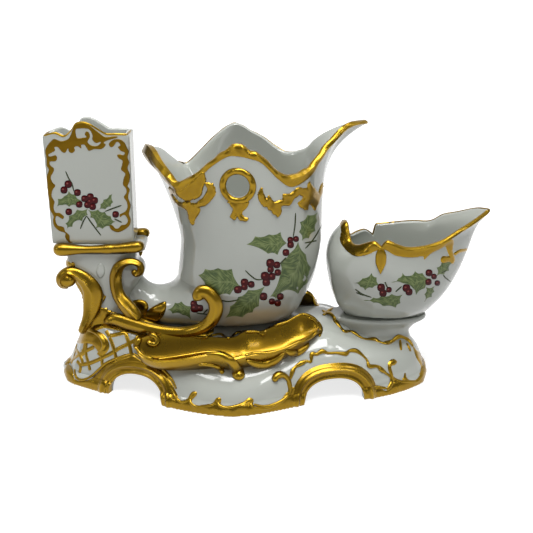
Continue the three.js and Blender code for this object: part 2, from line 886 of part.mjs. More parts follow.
// The rounded bar along one long edge of the ledge, thick at its ends and sagging between them
function ledgeBar() {
  const rings = [];
  const reach = ledgeWidth / 2 + barOverhang;
  for (let step = 0; step <= barSteps; step++) {
    const t = (2 * step) / barSteps - 1;
    const swell = Math.pow(Math.abs(t), barSwellPower);
    const end = Math.max(Math.sqrt(1 - Math.pow(Math.abs(t), barEndPower)), barTipShare);
    const radius = (barRadius + (barEndRadius - barRadius) * swell) * end;
    const tilt = (barTilt * (t + 1)) / 2;
    const sag = barSag * Math.cos((t * Math.PI) / 2);
    const height = ledgeUnderside + barHeightShare * ledgeHeight + tilt - sag;
    const ring = [];
    for (let i = 0; i < scrollSides; i++) {
      const around = (i * 2 * Math.PI) / scrollSides;
      ring.push(
        new THREE.Vector3(
          ledgeX + t * reach,
          -ledgeDepth / 2 - barRadius + radius * Math.cos(around),
          height + radius * Math.sin(around),
        ),
      );
    }
    rings.push(ring);
  }
  return loft(rings).subtract(platePrism(seatGap));
}

function blockRing(row, grow) {
  const [drop, left, right, depth] = row;
  const middle = ledgeX + ((left + right) / 2) * blockWidth;
  const half = ((right - left) / 2) * blockWidth + grow;
  const ring = [];
  for (let i = 0; i < blockSteps; i++) {
    const around = (i * 2 * Math.PI) / blockSteps;
    const c = Math.cos(around);
    const s = Math.sin(around);
    ring.push(
      new THREE.Vector3(
        middle + half * Math.sign(c) * Math.sqrt(Math.abs(c)),
        -((depth * blockDepth) / 2 + grow) * Math.sign(s) * Math.sqrt(Math.abs(s)),
        blockTop - drop * blockDrop,
      ),
    );
  }
  return ring;
}

function blockSolid(grow) {
  return loft(blockShares.map((row) => blockRing(row, grow)));
}

// Materials

const porcelain = new THREE.MeshStandardMaterial({ color: 0xf2f3ee, roughness: 0.12, metalness: 0 });
const gilding = new THREE.MeshStandardMaterial({ color: 0xc08a1e, roughness: 0.22, metalness: 0.9 });

// Assembly

const deskSet = new THREE.Group();

function add(name, solid, material) {
  const mesh = new THREE.Mesh(toGeometry(solid), material);
  mesh.name = name;
  deskSet.add(mesh);
}

// A front piece and its mirror image at the rear
function addPair(name, solid, material) {
  const geometry = toGeometry(solid);
  for (const end of ["front", "rear"]) {
    const mesh = new THREE.Mesh(geometry, material);
    mesh.name = name + "_" + end;
    mesh.scale.y = end === "front" ? 1 : -1;
    deskSet.add(mesh);
  }
}

const plinthSeat = plinthMound(seatGap, -overrun);
const vaseSeat = vaseFilled(seatGap);
const blockSeat = blockSolid(seatGap);

// The plinth with its four arches, and a moulding on the wall round each arch
const mouldingSkin = plinthMound(mouldingRaise, seatGap).subtract(plinthSeat);
let plinth = plinthShell();
for (const [side, share] of [["left", leftArchShare], ["right", rightArchShare]]) {
  const opening = archPrism(share, 0);
  plinth = plinth.subtract(opening).subtract(mirroredSolid(opening));
  const moulding = mouldingSkin.intersect(archPrism(share, mouldingWidth)).subtract(opening);
  addPair("arch_moulding_" + side, largest(moulding), gilding);
}
add("plinth", plinth, porcelain);

// The vase, pierced front and rear, with a raised ring round each hole
const piercer = piercing(ringShape(pierceRadius, 0), vaseHalfDepth + overrun);
const vase = vaseShell().subtract(plinthSeat).subtract(piercer).subtract(mirroredSolid(piercer));
add("vase", largest(vase), porcelain);
const ringSkin = vaseFilled(pierceRingRaise).subtract(vaseSeat);
const ringPrism = piercing(ringShape(pierceRadius + pierceRingWidth, pierceRadius), vaseHalfDepth + overrun);
add("vase_ring_front", largest(ringSkin.intersect(ringPrism)), gilding);
add("vase_ring_rear", largest(ringSkin.intersect(mirroredSolid(ringPrism))), gilding);

// The block, the ledge with its bars, and the box
add("block", largest(blockSolid(0).subtract(plinthSeat).subtract(vaseSeat)), porcelain);
add("ledge", platePrism(0), porcelain);
addPair("ledge_bar", ledgeBar(), gilding);
add("box", boxShell(), porcelain);

// The scrolls
const hookOrigin = new THREE.Vector3(hookLeft, -hookPlaneY, hookHeight);
const hook = scroll(hookShares, hookLength, hookOrigin, hookWidth, 0);
const hookSeat = scroll(hookShares, hookLength, hookOrigin, hookWidth, seatGap);
addPair("hook_scroll", largest(hook.subtract(vaseSeat).subtract(plinthSeat).subtract(blockSeat)), gilding);

const voluteOrigin = new THREE.Vector3(voluteFootX, -volutePlaneY, voluteFootHeight);
const volute = scroll(voluteShares, voluteHeight, voluteOrigin, voluteStem, 0);
const voluteCut = volute.subtract(vaseSeat).subtract(plinthSeat).subtract(blockSeat).subtract(hookSeat);
addPair("volute_scroll", largest(voluteCut), gilding);

const leafOrigin = new THREE.Vector3(leafFootX, -leafPlaneY, leafFootHeight);
const leaf = scroll(leafShares, leafHeight, leafOrigin, leafWidth, 0);
addPair("leaf_scroll", largest(leaf.subtract(plinthSeat).subtract(blockSeat)), gilding);

// The pen trays
const tray = traySolid().subtract(plinthSeat).subtract(vaseSeat).subtract(hookSeat);
addPair("pen_tray", largest(tray), gilding);

// The neck, the bowl on it, and the drops under the notches of its rim
const neck = loft(neckShares.map(neckRing)).subtract(plinthSeat).subtract(vaseSeat);
add("neck", largest(neck), porcelain);
add("bowl", largest(bowlShell().subtract(vaseSeat)), porcelain);
const dropSkin = loft(bowlRings(dropRaise)).subtract(loft(bowlRings(seatGap)));

function dropPrism(topShare) {
  const origin = new THREE.Vector3(bowlX - dropOffset, 0, bowlFootHeight + topShare * bowlHeight);
  return prism(dropShape(), bowlHalfDepth + overrun, wallFrame(origin, towardsFront));
}

add("bowl_drop_front", largest(dropSkin.intersect(dropPrism(dropTopShare))), gilding);
const rearPrism = mirroredSolid(dropPrism(rearDropTopShare));
add("bowl_drop_rear", largest(dropSkin.intersect(rearPrism)), gilding);

// The origin lies under the middle of the whole set
const bounds = new THREE.Box3().setFromObject(deskSet);
deskSet.position.x = -(bounds.min.x + bounds.max.x) / 2;

export default deskSet;
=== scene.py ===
"""A gilt porcelain desk set: a footed base with a box, a horn vase, a bowl and two pen trays.

Lengths are in metres, X runs along the set towards the bowl, -Y is the front and Z is up. The shapes are
skins: a grid whose columns run round a piece and whose rows follow its profile. Flat gold is a signed
distance kept on the corners of a skin, raised gold is a skin of its own, and painted holly is a thin pad
laid on the glaze. All are placed by named pixels of the 533 x 533 picture, through the scene's own camera,
onto the surface that carries them.
"""

import math

from functools import cache

import bmesh
import bpy
import numpy as np
from mathutils import Matrix, Vector, noise
from mathutils.bvhtree import BVHTree


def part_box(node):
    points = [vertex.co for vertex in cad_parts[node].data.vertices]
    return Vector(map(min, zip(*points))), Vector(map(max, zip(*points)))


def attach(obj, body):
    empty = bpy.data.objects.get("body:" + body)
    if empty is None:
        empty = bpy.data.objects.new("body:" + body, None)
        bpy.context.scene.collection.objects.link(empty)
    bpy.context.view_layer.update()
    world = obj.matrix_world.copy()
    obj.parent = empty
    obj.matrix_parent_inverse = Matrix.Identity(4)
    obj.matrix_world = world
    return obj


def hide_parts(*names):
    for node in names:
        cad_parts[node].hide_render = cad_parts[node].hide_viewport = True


bl_info = {
    "name": "Porcelain Desk Set",
    "version": (1, 0, 0),
    "blender": (4, 5, 0),
    "location": "3D View > Sidebar > Desk Set",
    "description": "Builds a gilt porcelain desk set with a box, a horn vase, a bowl and two pen trays",
    "category": "Add Mesh",
}

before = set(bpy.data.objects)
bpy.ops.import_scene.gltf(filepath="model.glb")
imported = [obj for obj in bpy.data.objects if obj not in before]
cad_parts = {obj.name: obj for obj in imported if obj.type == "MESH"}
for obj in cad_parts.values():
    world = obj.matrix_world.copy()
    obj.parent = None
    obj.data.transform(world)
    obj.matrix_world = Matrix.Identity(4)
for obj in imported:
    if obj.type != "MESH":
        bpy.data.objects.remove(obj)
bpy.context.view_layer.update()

MM = 0.001
BODY = "root"
# The gap between two pieces that stand on each other
SEAT_GAP = 0.3 * MM

# The camera, which also carries every named pixel onto the object
PICTURE_MIDDLE = 266.5
PICTURE_FOCAL = 885
PICTURE_WIDTH = 533
CAMERA_ELEVATION = math.radians(20.2)
CAMERA_TARGET = Vector((-1.9, 0, 67)) * MM
CAMERA_DISTANCE = 513 * MM
CAMERA_BACK = Vector((0, -math.cos(CAMERA_ELEVATION), math.sin(CAMERA_ELEVATION)))
CAMERA_UP = Vector((0, math.sin(CAMERA_ELEVATION), math.cos(CAMERA_ELEVATION)))
CAMERA_PLACE = CAMERA_TARGET + CAMERA_BACK * CAMERA_DISTANCE
SENSOR_WIDTH = 36


# Settings


def length(name, description, millimetres):
    return bpy.props.FloatProperty(
        name=name, description=description, default=millimetres * MM, unit="LENGTH", precision=4
    )


def colour(name, description, red, green, blue):
    return bpy.props.FloatVectorProperty(
        name=name,
        description=description,
        default=(red, green, blue, 1),
        subtype="COLOR",
        size=4,
        min=0,
        max=1,
    )


class BaseSizes(bpy.types.PropertyGroup):
    """The footed base and the mouldings of its arches"""

    length: length("Length", "Length of the base at its feet", 216.6)
    left: length("Left end", "Place of the base's left end", -123.5)
    half_depth: length("Half depth", "Half depth of the base at its feet", 54.4)
    height: length("Height", "Height of the ridge of the base", 38)
    wall: length("Wall", "Thickness of the base's wall", 4)
    foot_height: length("Foot height", "Height of the rolled foot", 4.2)
    foot_raise: length("Foot raise", "How far the rolled foot stands out", 1.2)
    arch_width: length("Arch width", "Width of an arch at the table", 35)
    arch_height: length("Arch height", "Height of an arch", 14)
    moulding_width: length("Moulding width", "Width of the gilt moulding of an arch", 8)
    moulding_raise: length("Moulding raise", "Height of the moulding's ridge", 2.2)


class VaseSizes(bpy.types.PropertyGroup):
    """The horn-shaped vase"""

    middle: length("Middle", "Place of the vase's middle", -10.6)
    half_length: length("Half length", "Half length of the vase at its shoulder", 40.2)
    half_depth: length("Half depth", "Half depth of the vase at its shoulder", 36)
    shoulder_height: length("Shoulder height", "Height of the shoulder", 85)
    rim_height: length("Rim height", "Greatest height of the rim over the shoulder", 65)
    wall: length("Wall", "Thickness of the vase's wall", 3)
    pivot: length("Pivot", "Place of the horn's pivot", -64)
    pivot_height: length("Pivot height", "Height of the horn's pivot", 66)
    inner_radius: length("Inner radius", "Radius of the horn's inner bend", 11)
    pierce: length("Hole", "Place of the pierced hole", -16.9)
    pierce_height: length("Hole height", "Height of the pierced hole", 124.3)
    pierce_radius: length("Hole radius", "Radius of the pierced hole", 6.4)
    ring_width: length("Ring width", "Width of the gilt ring round the hole", 3.3)
    ring_raise: length("Ring raise", "Height of the gilt ring round the hole", 1.6)


class TraySizes(bpy.types.PropertyGroup):
    """The two pen trays"""

    left: length("Left end", "Place of a tray's left end", -75)
    length: length("Length", "Length of a tray", 104)
    width: length("Width", "Width that the tray's shares follow", 17.5)
    height: length("Height", "Height that the tray's shares follow", 33)
    wall: length("Wall", "Thickness of a tray's rim", 1.6)
    depth: length("Depth", "Depth of the trough", 6.5)


class BowlSizes(bpy.types.PropertyGroup):
    """The boat-shaped bowl and its neck"""

    middle: length("Middle", "Place of the bowl's middle", 67.5)
    half_length: length("Left reach", "Reach of the bowl to the left", 35.2)
    spout_reach: length("Spout reach", "Reach of the spout to the right", 57.2)
    half_depth: length("Half depth", "Half depth of the bowl", 27.5)
    height: length("Height", "Height of the spout's tip over the foot", 62.5)
    wall: length("Wall", "Thickness of the bowl's wall", 2.2)
    floor: length("Floor", "Thickness of the bowl's floor", 3)
    drop_raise: length("Drop raise", "Height of the gilt drop on the wall", 1)
    neck: length("Neck", "Place of the neck", 63.2)
    neck_half_length: length("Neck half length", "Half length of the neck", 29)
    neck_half_depth: length("Neck half depth", "Half depth of the neck", 13.6)
    neck_height: length("Neck height", "Height of the neck's top", 38.4)
    neck_drop: length("Neck drop", "How far the neck reaches down", 20)


class BoxSizes(bpy.types.PropertyGroup):
    """The upright box, the ledge under it and the block that carries them"""

    middle: length("Middle", "Place of the box's middle", -99.7)
    width: length("Width", "Width of the box at its foot", 46.2)
    flare: length("Flare", "How much wider the box is at its top", 1)
    depth: length("Depth", "Depth of the box", 17)
    height: length("Height", "Height of the box at its corners", 61.4)
    wall: length("Wall", "Thickness of the box's wall", 2.5)
    floor: length("Floor", "Thickness of the box's floor", 4)
    crest: length("Crest", "Height of the crest over the corners", 7.6)
    corner: length("Corner", "Radius of the box's upright corners", 1.4)
    ledge: length("Ledge", "Place of the middle of the ledge and the block", -95.9)
    ledge_width: length("Ledge width", "Width of the ledge", 50.4)
    ledge_depth: length("Ledge depth", "Depth of the ledge", 20)
    ledge_height: length("Ledge height", "Height of the ledge", 4.4)
    ledge_underside: length("Ledge underside", "Height of the ledge's underside", 79)
    ledge_bevel: length("Ledge bevel", "Bevel of the ledge's edges", 1.5)
    bar_radius: length("Bar radius", "Radius of the gilt bar in its middle", 2.8)
    bar_end_radius: length("Bar end radius", "Radius of the gilt bar at its ends", 3.7)
    bar_tilt: length("Bar tilt", "How far the bar rises to the right", 1.9)
    bar_overhang: length("Bar overhang", "How far the bar passes the ledge", 0.5)
    bar_sag: length("Bar sag", "How far the bar sags in its middle", 0.9)
    block_width: length("Block width", "Width of the block", 40)
    block_depth: length("Block depth", "Depth of the block", 24)
    block_drop: length("Block drop", "How far the block reaches down", 52.5)


class ScrollSizes(bpy.types.PropertyGroup):
    """The three gilt scrolls on each long side"""

    thickness: length("Thickness", "Thickness of a scroll", 5)
    volute_height: length("Volute height", "Height of the volute", 36)
    volute_foot: length("Volute foot", "Place of the volute's foot", -68)
    volute_foot_height: length("Volute foot height", "Height of the volute's foot", 40)
    volute_plane: length("Volute plane", "Distance of the volute from the middle", 14.5)
    volute_stem: length("Volute stem", "Width of the volute's stem", 5.8)
    hook_length: length("Hook length", "Length of the hook", 67)
    hook_left: length("Hook left end", "Place of the hook's left end", -94)
    hook_height: length("Hook height", "Height of the hook's left end", 36.2)
    hook_plane: length("Hook plane", "Distance of the hook from the middle", 27)
    hook_width: length("Hook width", "Width of the hook", 8)
    leaf_height: length("Leaf height", "Height of the leaf scroll", 40)
    leaf_foot: length("Leaf foot", "Place of the leaf scroll's foot", -109)
    leaf_foot_height: length("Leaf foot height", "Height of the leaf scroll's foot", 30)
    leaf_plane: length("Leaf plane", "Distance of the leaf scroll from the middle", 13.5)
    leaf_width: length("Leaf width", "Width of the leaf scroll", 12.5)


class Finishes(bpy.types.PropertyGroup):
    """The colours of the glaze, the gold and the painting"""

    glaze: colour("Glaze", "White of the glaze", 0.43, 0.445, 0.41)
    # The pooled glaze colour is also painted shade in the hollows
    glaze_pool_and_shade: colour("Pooled glaze", "Glaze where it has pooled", 0.31, 0.34, 0.29)
    # A warm tint low on the vase, along the top of the trays
    glaze_warm: colour("Warm glaze", "Brushed warm ground low on the vase", 0.42, 0.33, 0.19)
    gold: colour("Gold", "Burnished gold", 0.292, 0.18, 0.012)
    gold_dull: colour("Dull gold", "Painted gold that is not rubbed bright", 0.15, 0.088, 0.007)
    # Deep gold is thin gold in brush marks, and painted shade in the hollows
    gold_deep_and_shaded: colour("Deep and shaded gold", "Gold in the hollows and thin brush marks", 0.12, 0.062, 0.004)
    leaf: colour("Leaf", "Green of the holly leaves", 0.1, 0.148, 0.04)
    leaf_pale: colour("Pale leaf", "Green of the veins and worn edges", 0.27, 0.32, 0.13)
    leaf_dark: colour("Dark leaf", "Green of the shaded edges", 0.03, 0.055, 0.022)
    berry: colour("Berry", "Red of the berries", 0.075, 0.002, 0.004)
    berry_dark: colour("Dark berry", "Outline of the berries", 0.012, 0.001, 0.002)
    berry_light: colour("Berry light", "Small brush mark on each berry", 0.38, 0.09, 0.07)
    stem: colour("Stem", "Brown green of the stems", 0.045, 0.042, 0.018)


SETTINGS = {
    "desk_set_base": BaseSizes,
    "desk_set_vase": VaseSizes,
    "desk_set_tray": TraySizes,
    "desk_set_bowl": BowlSizes,
    "desk_set_box": BoxSizes,
    "desk_set_scroll": ScrollSizes,
    "desk_set_finish": Finishes,
}


def settings(name):
    return getattr(bpy.context.scene, "desk_set_" + name)


# Shares of the sizes above

# Places along half of the base's edge, from the left tip round the front to the right tip.
# Each row: foot along the length, foot across, shelf along, shelf across, shelf height, ridge
# height, and how much the wall between foot and shelf swells.
BASE_SHARES = [
    [0, 0, 0.077, 0, 0.94, 0.97, 0.1],
    [0.014, 0.165, 0.083, 0.14, 0.94, 0.97, 0.1],
    [0.038, 0.301, 0.1, 0.24, 0.95, 0.97, 0.15],
    [0.136, 0.517, 0.16, 0.34, 0.95, 0.97, 0.4],
    [0.22, 0.643, 0.235, 0.41, 0.88, 0.95, 0.6],
    [0.291, 0.781, 0.302, 0.5, 0.7, 0.9, 0.8],
    [0.39, 0.938, 0.39, 0.55, 0.66, 0.88, 1],
    [0.472, 1, 0.472, 0.56, 0.66, 0.88, 1],
    [0.54, 0.956, 0.535, 0.54, 0.68, 0.92, 1],
    [0.595, 0.873, 0.59, 0.5, 0.74, 0.95, 1],
    [0.653, 0.781, 0.642, 0.44, 0.83, 0.98, 1],
    [0.737, 0.717, 0.72, 0.35, 0.92, 0.99, 1],
    [0.821, 0.651, 0.802, 0.29, 0.76, 0.8, 1],
    [0.903, 0.515, 0.877, 0.24, 0.65, 0.66, 1],
    [0.97, 0.325, 0.925, 0.165, 0.62, 0.63, 0.9],
    [0.993, 0.165, 0.94, 0.09, 0.62, 0.62, 0.8],
    [1, 0, 0.944, 0, 0.62, 0.62, 0.8],
]
RIDGE_SHARE = 0.45
ARCH_SHARES = {"left": 0.22, "right": 0.737}
ARCH_POWER = 0.85

# The horn's fan of sections: angle in degrees, outer reach and half depth
HORN_SHARES = [
    [-204, 0.38, 0.08],
    [-186, 0.46, 0.15],
    [-162, 0.6, 0.22],
    [-138, 0.7, 0.27],
    [-114, 0.77, 0.32],
    [-90, 0.82, 0.38],
    [-66, 0.91, 0.46],
    [-48, 1.12, 0.56],
    [-32, 1.55, 0.68],
    [-20, 2.01, 0.79],
    [-9, 2.15, 0.9],
    [0, 2.25, 0.955],
]
HORN_FLOOR_ROW = 8

# The vase's rim: degrees from +X, radius, height at the front, the power by which the wall flares to it,
# and height at the rear
VASE_RIM_SHARES = [
    [0, 1.592, 1.012, 5, 1.012],
    [9, 1.38, 1.015, 4.9, 0.967],
    [18.5, 1.17, 0.9, 4.6, 0.883],
    [28, 1.085, 0.806, 4, 0.803],
    [38, 1.03, 0.712, 3.4, 0.702],
    [54, 0.945, 0.655, 2.4, 0.648],
    [66, 0.905, 0.695, 2.2, 0.692],
    [79, 0.87, 0.822, 2.2, 0.779],
    [90, 0.858, 0.874, 2.2, 0.829],
    [101, 0.846, 0.923, 2.2, 0.889],
    [110, 0.86, 0.88, 2.2, 0.902],
    [122, 0.935, 0.79, 2.2, 0.823],
    [131, 1.04, 0.692, 2, 0.716],
    [141, 1.23, 0.598, 1.8, 0.553],
    [147, 1.29, 0.658, 1.7, 0.56],
    [153, 1.335, 0.73, 1.6, 0.627],
    [165, 1.385, 0.82, 1.5, 0.742],
    [180, 1.452, 0.795, 1.4, 0.795],
]
# The gilt band on the vase's rim: degrees from +X, width in shares of the wall, and how lumpy it is
VASE_BAND_SHARES = [
    [0, 1.3, 0.4],
    [18.5, 1.9, 0.9],
    [38, 2.4, 0.9],
    [54, 2.5, 0.2],
    [66, 1.75, 0],
    [79, 1.7, 0.7],
    [90, 1.9, 1],
    [101, 2.6, 0.8],
    [110, 1.9, 1],
    [122, 1.7, 1],
    [131, 1.9, 0.8],
    [141, 2.6, 0],
    [153, 4.8, 0.1],
    [165, 5.2, 0.3],
    [180, 4.2, 0],
]

# The bowl from foot to rim: left reach, spout reach, half depth, rise of its sides and of its ends
BOWL_SHARES = [
    [0.68, 0.416, 0.38, 0, 0],
    [0.8, 0.51, 0.62, 0.07, 0.11],
    [0.9, 0.64, 0.82, 0.21, 0.27],
    [0.97, 0.745, 0.95, 0.42, 0.46],
    [1, 0.815, 1, 0.63, 0.65],
    [0.96, 0.86, 0.99, 0.8, 0.8],
    [0.88, 0.91, 0.98, 0.915, 0.9],
    [0.74, 1, 0.98, 1, 1],
]
# The bowl's rim: degrees from the spout, and height at the front and at the rear
BOWL_RIM_SHARES = [
    [0, 0.99, 0.99],
    [14, 0.968, 0.99],
    [28, 0.938, 0.975],
    [45, 0.88, 0.902],
    [53, 0.84, 0.862],
    [61, 0.797, 0.785],
    [72, 0.766, 0.768],
    [83, 0.765, 0.743],
    [91, 0.808, 0.727],
    [98, 0.826, 0.719],
    [102, 0.804, 0.62],
    [106.5, 0.772, 0.643],
    [115, 0.807, 0.68],
    [127, 0.775, 0.676],
    [140, 0.736, 0.668],
    [154, 0.745, 0.715],
    [163, 0.83, 0.82],
    [169, 0.886, 0.86],
    [180, 0.887, 0.887],
]
# The gilt band on the bowl's rim: degrees from the spout and width in shares of the wall
BOWL_BAND_SHARES = [
    [0, 0.9],
    [20, 0.9],
    [45, 1.1],
    [61, 1.5],
    [80, 2.2],
    [98, 1.6],
    [106.5, 1.0],
    [115, 1.6],
    [127, 2.3],
    [145, 2.4],
    [166, 2.2],
    [180, 1.6],
]

# The tray: place along it, middle across and width as shares of its width, height of the back rim,
# of the front rim, and depth of the trough
TRAY_SHARES = [
    [0, 0.624, 0.12, 1.03, 1, 0.1],
    [0.04, 0.634, 0.42, 1.09, 0.88, 0.6],
    [0.12, 0.663, 0.7, 1.15, 0.85, 0.85],
    [0.22, 0.685, 0.84, 1.14, 0.89, 0.95],
    [0.33, 0.695, 0.95, 1.1, 0.98, 1],
    [0.43, 0.698, 1.01, 1.07, 1.04, 1],
    [0.52, 0.695, 1.02, 1.06, 0.96, 0.95],
    [0.59, 0.676, 1, 1.16, 0.99, 1],
    [0.68, 0.631, 0.94, 1.15, 1, 0.95],
    [0.79, 0.573, 0.92, 1.264, 1.017, 0.95],
    [0.89, 0.499, 0.8, 1.373, 1.094, 0.75],
    [0.96, 0.415, 0.5, 1.3, 1.146, 0.5],
    [1, 0.386, 0.12, 1.12, 1.12, 0.1],
]

# Scroll routes: along, up, forward of the scroll's plane, and width
VOLUTE_SHARES = [
    [-0.14, 0.084, 0.18, 0.59],
    [-0.262, 0.182, 0.17, 1.07],
    [-0.37, 0.297, 0.14, 1.12],
    [-0.474, 0.425, 0.08, 0.98],
    [-0.525, 0.583, 0.03, 0.93],
    [-0.527, 0.739, 0, 0.9],
    [-0.475, 0.882, 0, 0.8],
    [-0.37, 0.963, 0, 0.62],
    [-0.244, 0.98, 0, 0.52],
    [-0.14, 0.93, 0.01, 0.54],
    [-0.131, 0.831, 0.02, 0.52],
    [-0.203, 0.788, 0.03, 0.49],
    [-0.242, 0.855, 0.04, 0.45],
]
HOOK_SHARES = [
    [-0.012, 0.052, -0.14, 0.29],
    [0.079, 0.089, -0.12, 0.71],
    [0.219, 0.065, -0.08, 0.78],
    [0.377, 0.041, -0.03, 0.71],
    [0.531, 0.027, 0, 0.67],
    [0.684, 0.031, 0.02, 0.67],
    [0.813, 0.072, 0.05, 0.7],
    [0.907, 0.144, 0.07, 0.76],
    [0.956, 0.239, 0.08, 0.8],
    [0.951, 0.328, 0.08, 0.81],
    [0.905, 0.394, 0.07, 0.82],
    [0.847, 0.408, 0.06, 0.82],
    [0.817, 0.372, 0.06, 0.72],
    [0.817, 0.332, 0.07, 0.48],
]
LEAF_SHARES = [
    [-0.128, 0.746, 0, 0.23],
    [-0.217, 0.785, 0, 0.41],
    [-0.223, 0.883, 0, 0.48],
    [-0.124, 0.974, 0, 0.45],
    [0, 0.936, 0, 0.59],
    [0.137, 0.823, 0.02, 0.77],
    [0.213, 0.659, 0.03, 0.91],
    [0.189, 0.467, 0.05, 0.82],
    [0.125, 0.279, 0.08, 0.55],
    [0.013, 0.068, 0.1, 0.37],
]

# The block from its top down: drop, left and right edges about the box's middle, half depth
BLOCK_SHARES = [
    [0, -0.49, 0.51, 1],
    [0.12, -0.5, 0.5, 1],
    [0.2, -0.48, 0.575, 1.02],
    [0.28, -0.45, 0.585, 1.02],
    [0.36, -0.41, 0.52, 1.02],
    [0.52, -0.32, 0.41, 1.04],
    [0.72, -0.3, 0.37, 1.12],
    [1, -0.3, 0.37, 1.2],
]
# The neck under the bowl, from its flange down: drop, half length to the left and to the right, half depth
NECK_SHARES = [
    [0, 0.985, 0.985, 0.97],
    [0.06, 1, 1, 1],
    [0.14, 0.985, 0.98, 0.97],
    [0.3, 0.9, 0.8, 0.86],
    [0.5, 0.86, 0.68, 0.84],
    [0.7, 0.86, 0.7, 0.98],
    [0.9, 0.88, 0.76, 1.25],
    [1, 0.9, 0.8, 1.4],
]
# The box's wavy top edge from left to right: place across the width, and height
CREST_SHARES = [
    [0, 0],
    [0.14, 0.24],
    [0.25, 0.02],
    [0.34, 0.45],
    [0.39, 0.88],
    [0.47, 1],
    [0.56, 0.84],
    [0.65, 0.5],
    [0.74, 0.18],
    [0.83, 0.16],
    [1, 0.12],
]
# A rim's edge from outside to inside: how far in and how high, as shares of the wall
EDGE_SHARES = [(0.12, 0.14), (0.3, 0.24), (0.5, 0.28), (0.7, 0.24), (0.88, 0.14)]


# Smooth lines

SEARCH_STEPS = 26


def smooth_row(rows, place):
    """A smooth line through rows of numbers, at a place from 0 to 1 along the rows"""
    at = min(max(place, 0), 1) * (len(rows) - 1)
    i = min(int(at), len(rows) - 2)
    t = at - i
    before, start, end = rows[max(i - 1, 0)], rows[i], rows[i + 1]
    after = rows[min(i + 2, len(rows) - 1)]
    made = []
    for column in range(len(start)):
        rise = end[column] - start[column]
        leave = (end[column] - before[column]) / 2
        arrive = (after[column] - start[column]) / 2
        bend = 3 * rise - 2 * leave - arrive
        made.append(start[column] + t * (leave + t * (bend + t * (leave + arrive - 2 * rise))))
    return made


def smooth_at(rows, key):
    """The same line, looked up by its first column, which rises from row to row"""
    low, high = 0.0, 1.0
    for _ in range(SEARCH_STEPS):
        middle = (low + high) / 2
        if smooth_row(rows, middle)[0] < key:
            low = middle
        else:
            high = middle
    return smooth_row(rows, low)


def dense(rows, steps):
    """The smooth line through rows as a list of steps + 1 points"""
    return [Vector(smooth_row(rows, step / steps)) for step in range(steps + 1)]


def blunt(place, power):
    """1 along a strip and 0 at its two ends, rounder with a lower power"""
    return math.sqrt(max(0.0, 1 - abs(2 * place - 1) ** power))


def turns(count):
    """The angles of a full turn in count steps, with both ends"""
    return [2 * math.pi * step / count for step in range(count + 1)]


def fold_degrees(around):
    """Degrees from +X for a share of the way round, the rear mirroring the front"""
    return min(around, 1 - around) * 360


def rim_at(rows, around):
    """A rim's row at a share of the way round. Its last column holds the rear's height, which takes the
    place of the front's in the rear half."""
    row = smooth_at(rows, fold_degrees(around))
    rear = row.pop()
    if around > 0.5:
        row[-1 if len(row) == 2 else 2] = rear
    return row


# Meshes

# Corners nearer to each other than this are one
SEAM = 0.002 * MM
# Degrees from which an edge is sharp
CREASE = 40


def skin(bm, columns, profile):
    """Adds a grid with one column for each share of the way round. profile(share) is its list of points."""
    rows = len(profile(0.0)) - 1
    bm.loops.layers.uv.verify()
    made = bmesh.ops.create_grid(bm, x_segments=columns, y_segments=rows, size=0.5, calc_uvs=True)
    for vert in made["verts"]:
        vert.co = profile(round((vert.co.x + 0.5) * columns) / columns)[round((vert.co.y + 0.5) * rows)]


def close(bm):
    """Merges seams and poles, closes open ends and turns every face outwards"""
    bmesh.ops.remove_doubles(bm, verts=bm.verts[:], dist=SEAM)
    open_edges = [edge for edge in bm.edges if edge.is_boundary]
    if open_edges:
        bmesh.ops.holes_fill(bm, edges=open_edges, sides=0)
    bmesh.ops.dissolve_degenerate(bm, dist=SEAM / 2, edges=bm.edges[:])
    bmesh.ops.recalc_face_normals(bm, faces=bm.faces[:])


def closed_skin(columns, profile):
    """A closed mesh whose columns follow profile(share)"""
    bm = bmesh.new()
    skin(bm, columns, cache(profile))
    close(bm)
    return bm


def turn_to_rear(bm):
    """Mirrors a mesh to the rear and keeps its faces outwards"""
    bmesh.ops.scale(bm, vec=(1, -1, 1), verts=bm.verts[:])
    bmesh.ops.reverse_faces(bm, faces=bm.faces[:])


def corners_of(made):
    """The corners among what an operator made"""
    return [item for item in made["geom"] if isinstance(item, bmesh.types.BMVert)]


def add_mesh(joined, bm):
    """Adds one mesh to another"""
    mesh = bpy.data.meshes.new("part")
    bm.to_mesh(mesh)
    joined.from_mesh(mesh)
    bpy.data.meshes.remove(mesh)


def to_object(bm, name):
    mesh = bpy.data.meshes.new(name)
    bm.to_mesh(mesh)
    bm.free()
    piece = bpy.data.objects.new(name, mesh)
    bpy.context.scene.collection.objects.link(piece)
    return piece


def cut(piece, cutters):
    """Cuts the cutters out of a piece and removes them"""
    for cutter in cutters:
        modifier = piece.modifiers.new("cut", "BOOLEAN")
        modifier.operation = "DIFFERENCE"
        modifier.solver = "MANIFOLD"
        modifier.object = cutter
    bpy.context.view_layer.update()
    evaluated = piece.evaluated_get(bpy.context.evaluated_depsgraph_get())
    mesh = bpy.data.meshes.new_from_object(evaluated)
    piece.modifiers.clear()
    piece.data = mesh
    for cutter in cutters:
        bpy.data.objects.remove(cutter)


def frame_shift():
    """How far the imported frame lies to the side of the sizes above"""
    low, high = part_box("ledge")
    return Vector(((low.x + high.x) / 2 - settings("box").ledge, 0, 0))


def finish_piece(piece, material, slot, *nodes, crease=CREASE):
    """Gives a piece its place in the frame, its material, its body and the nodes that it stands for"""
    mesh = piece.data
    mesh.name = piece.name
    mesh.transform(Matrix.Translation(frame_shift()))
    mesh.shade_smooth()
    mesh.set_sharp_from_angle(angle=math.radians(crease))
    mesh.materials.clear()
    mesh.materials.append(bpy.data.materials[material])
    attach(piece, BODY)
    if nodes:
        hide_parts(*nodes)


def gold_piece(bm, name, *nodes):
    """A piece of burnished gold"""
    finish_piece(to_object(bm, name), "burnished_gold", "gilding", *nodes)


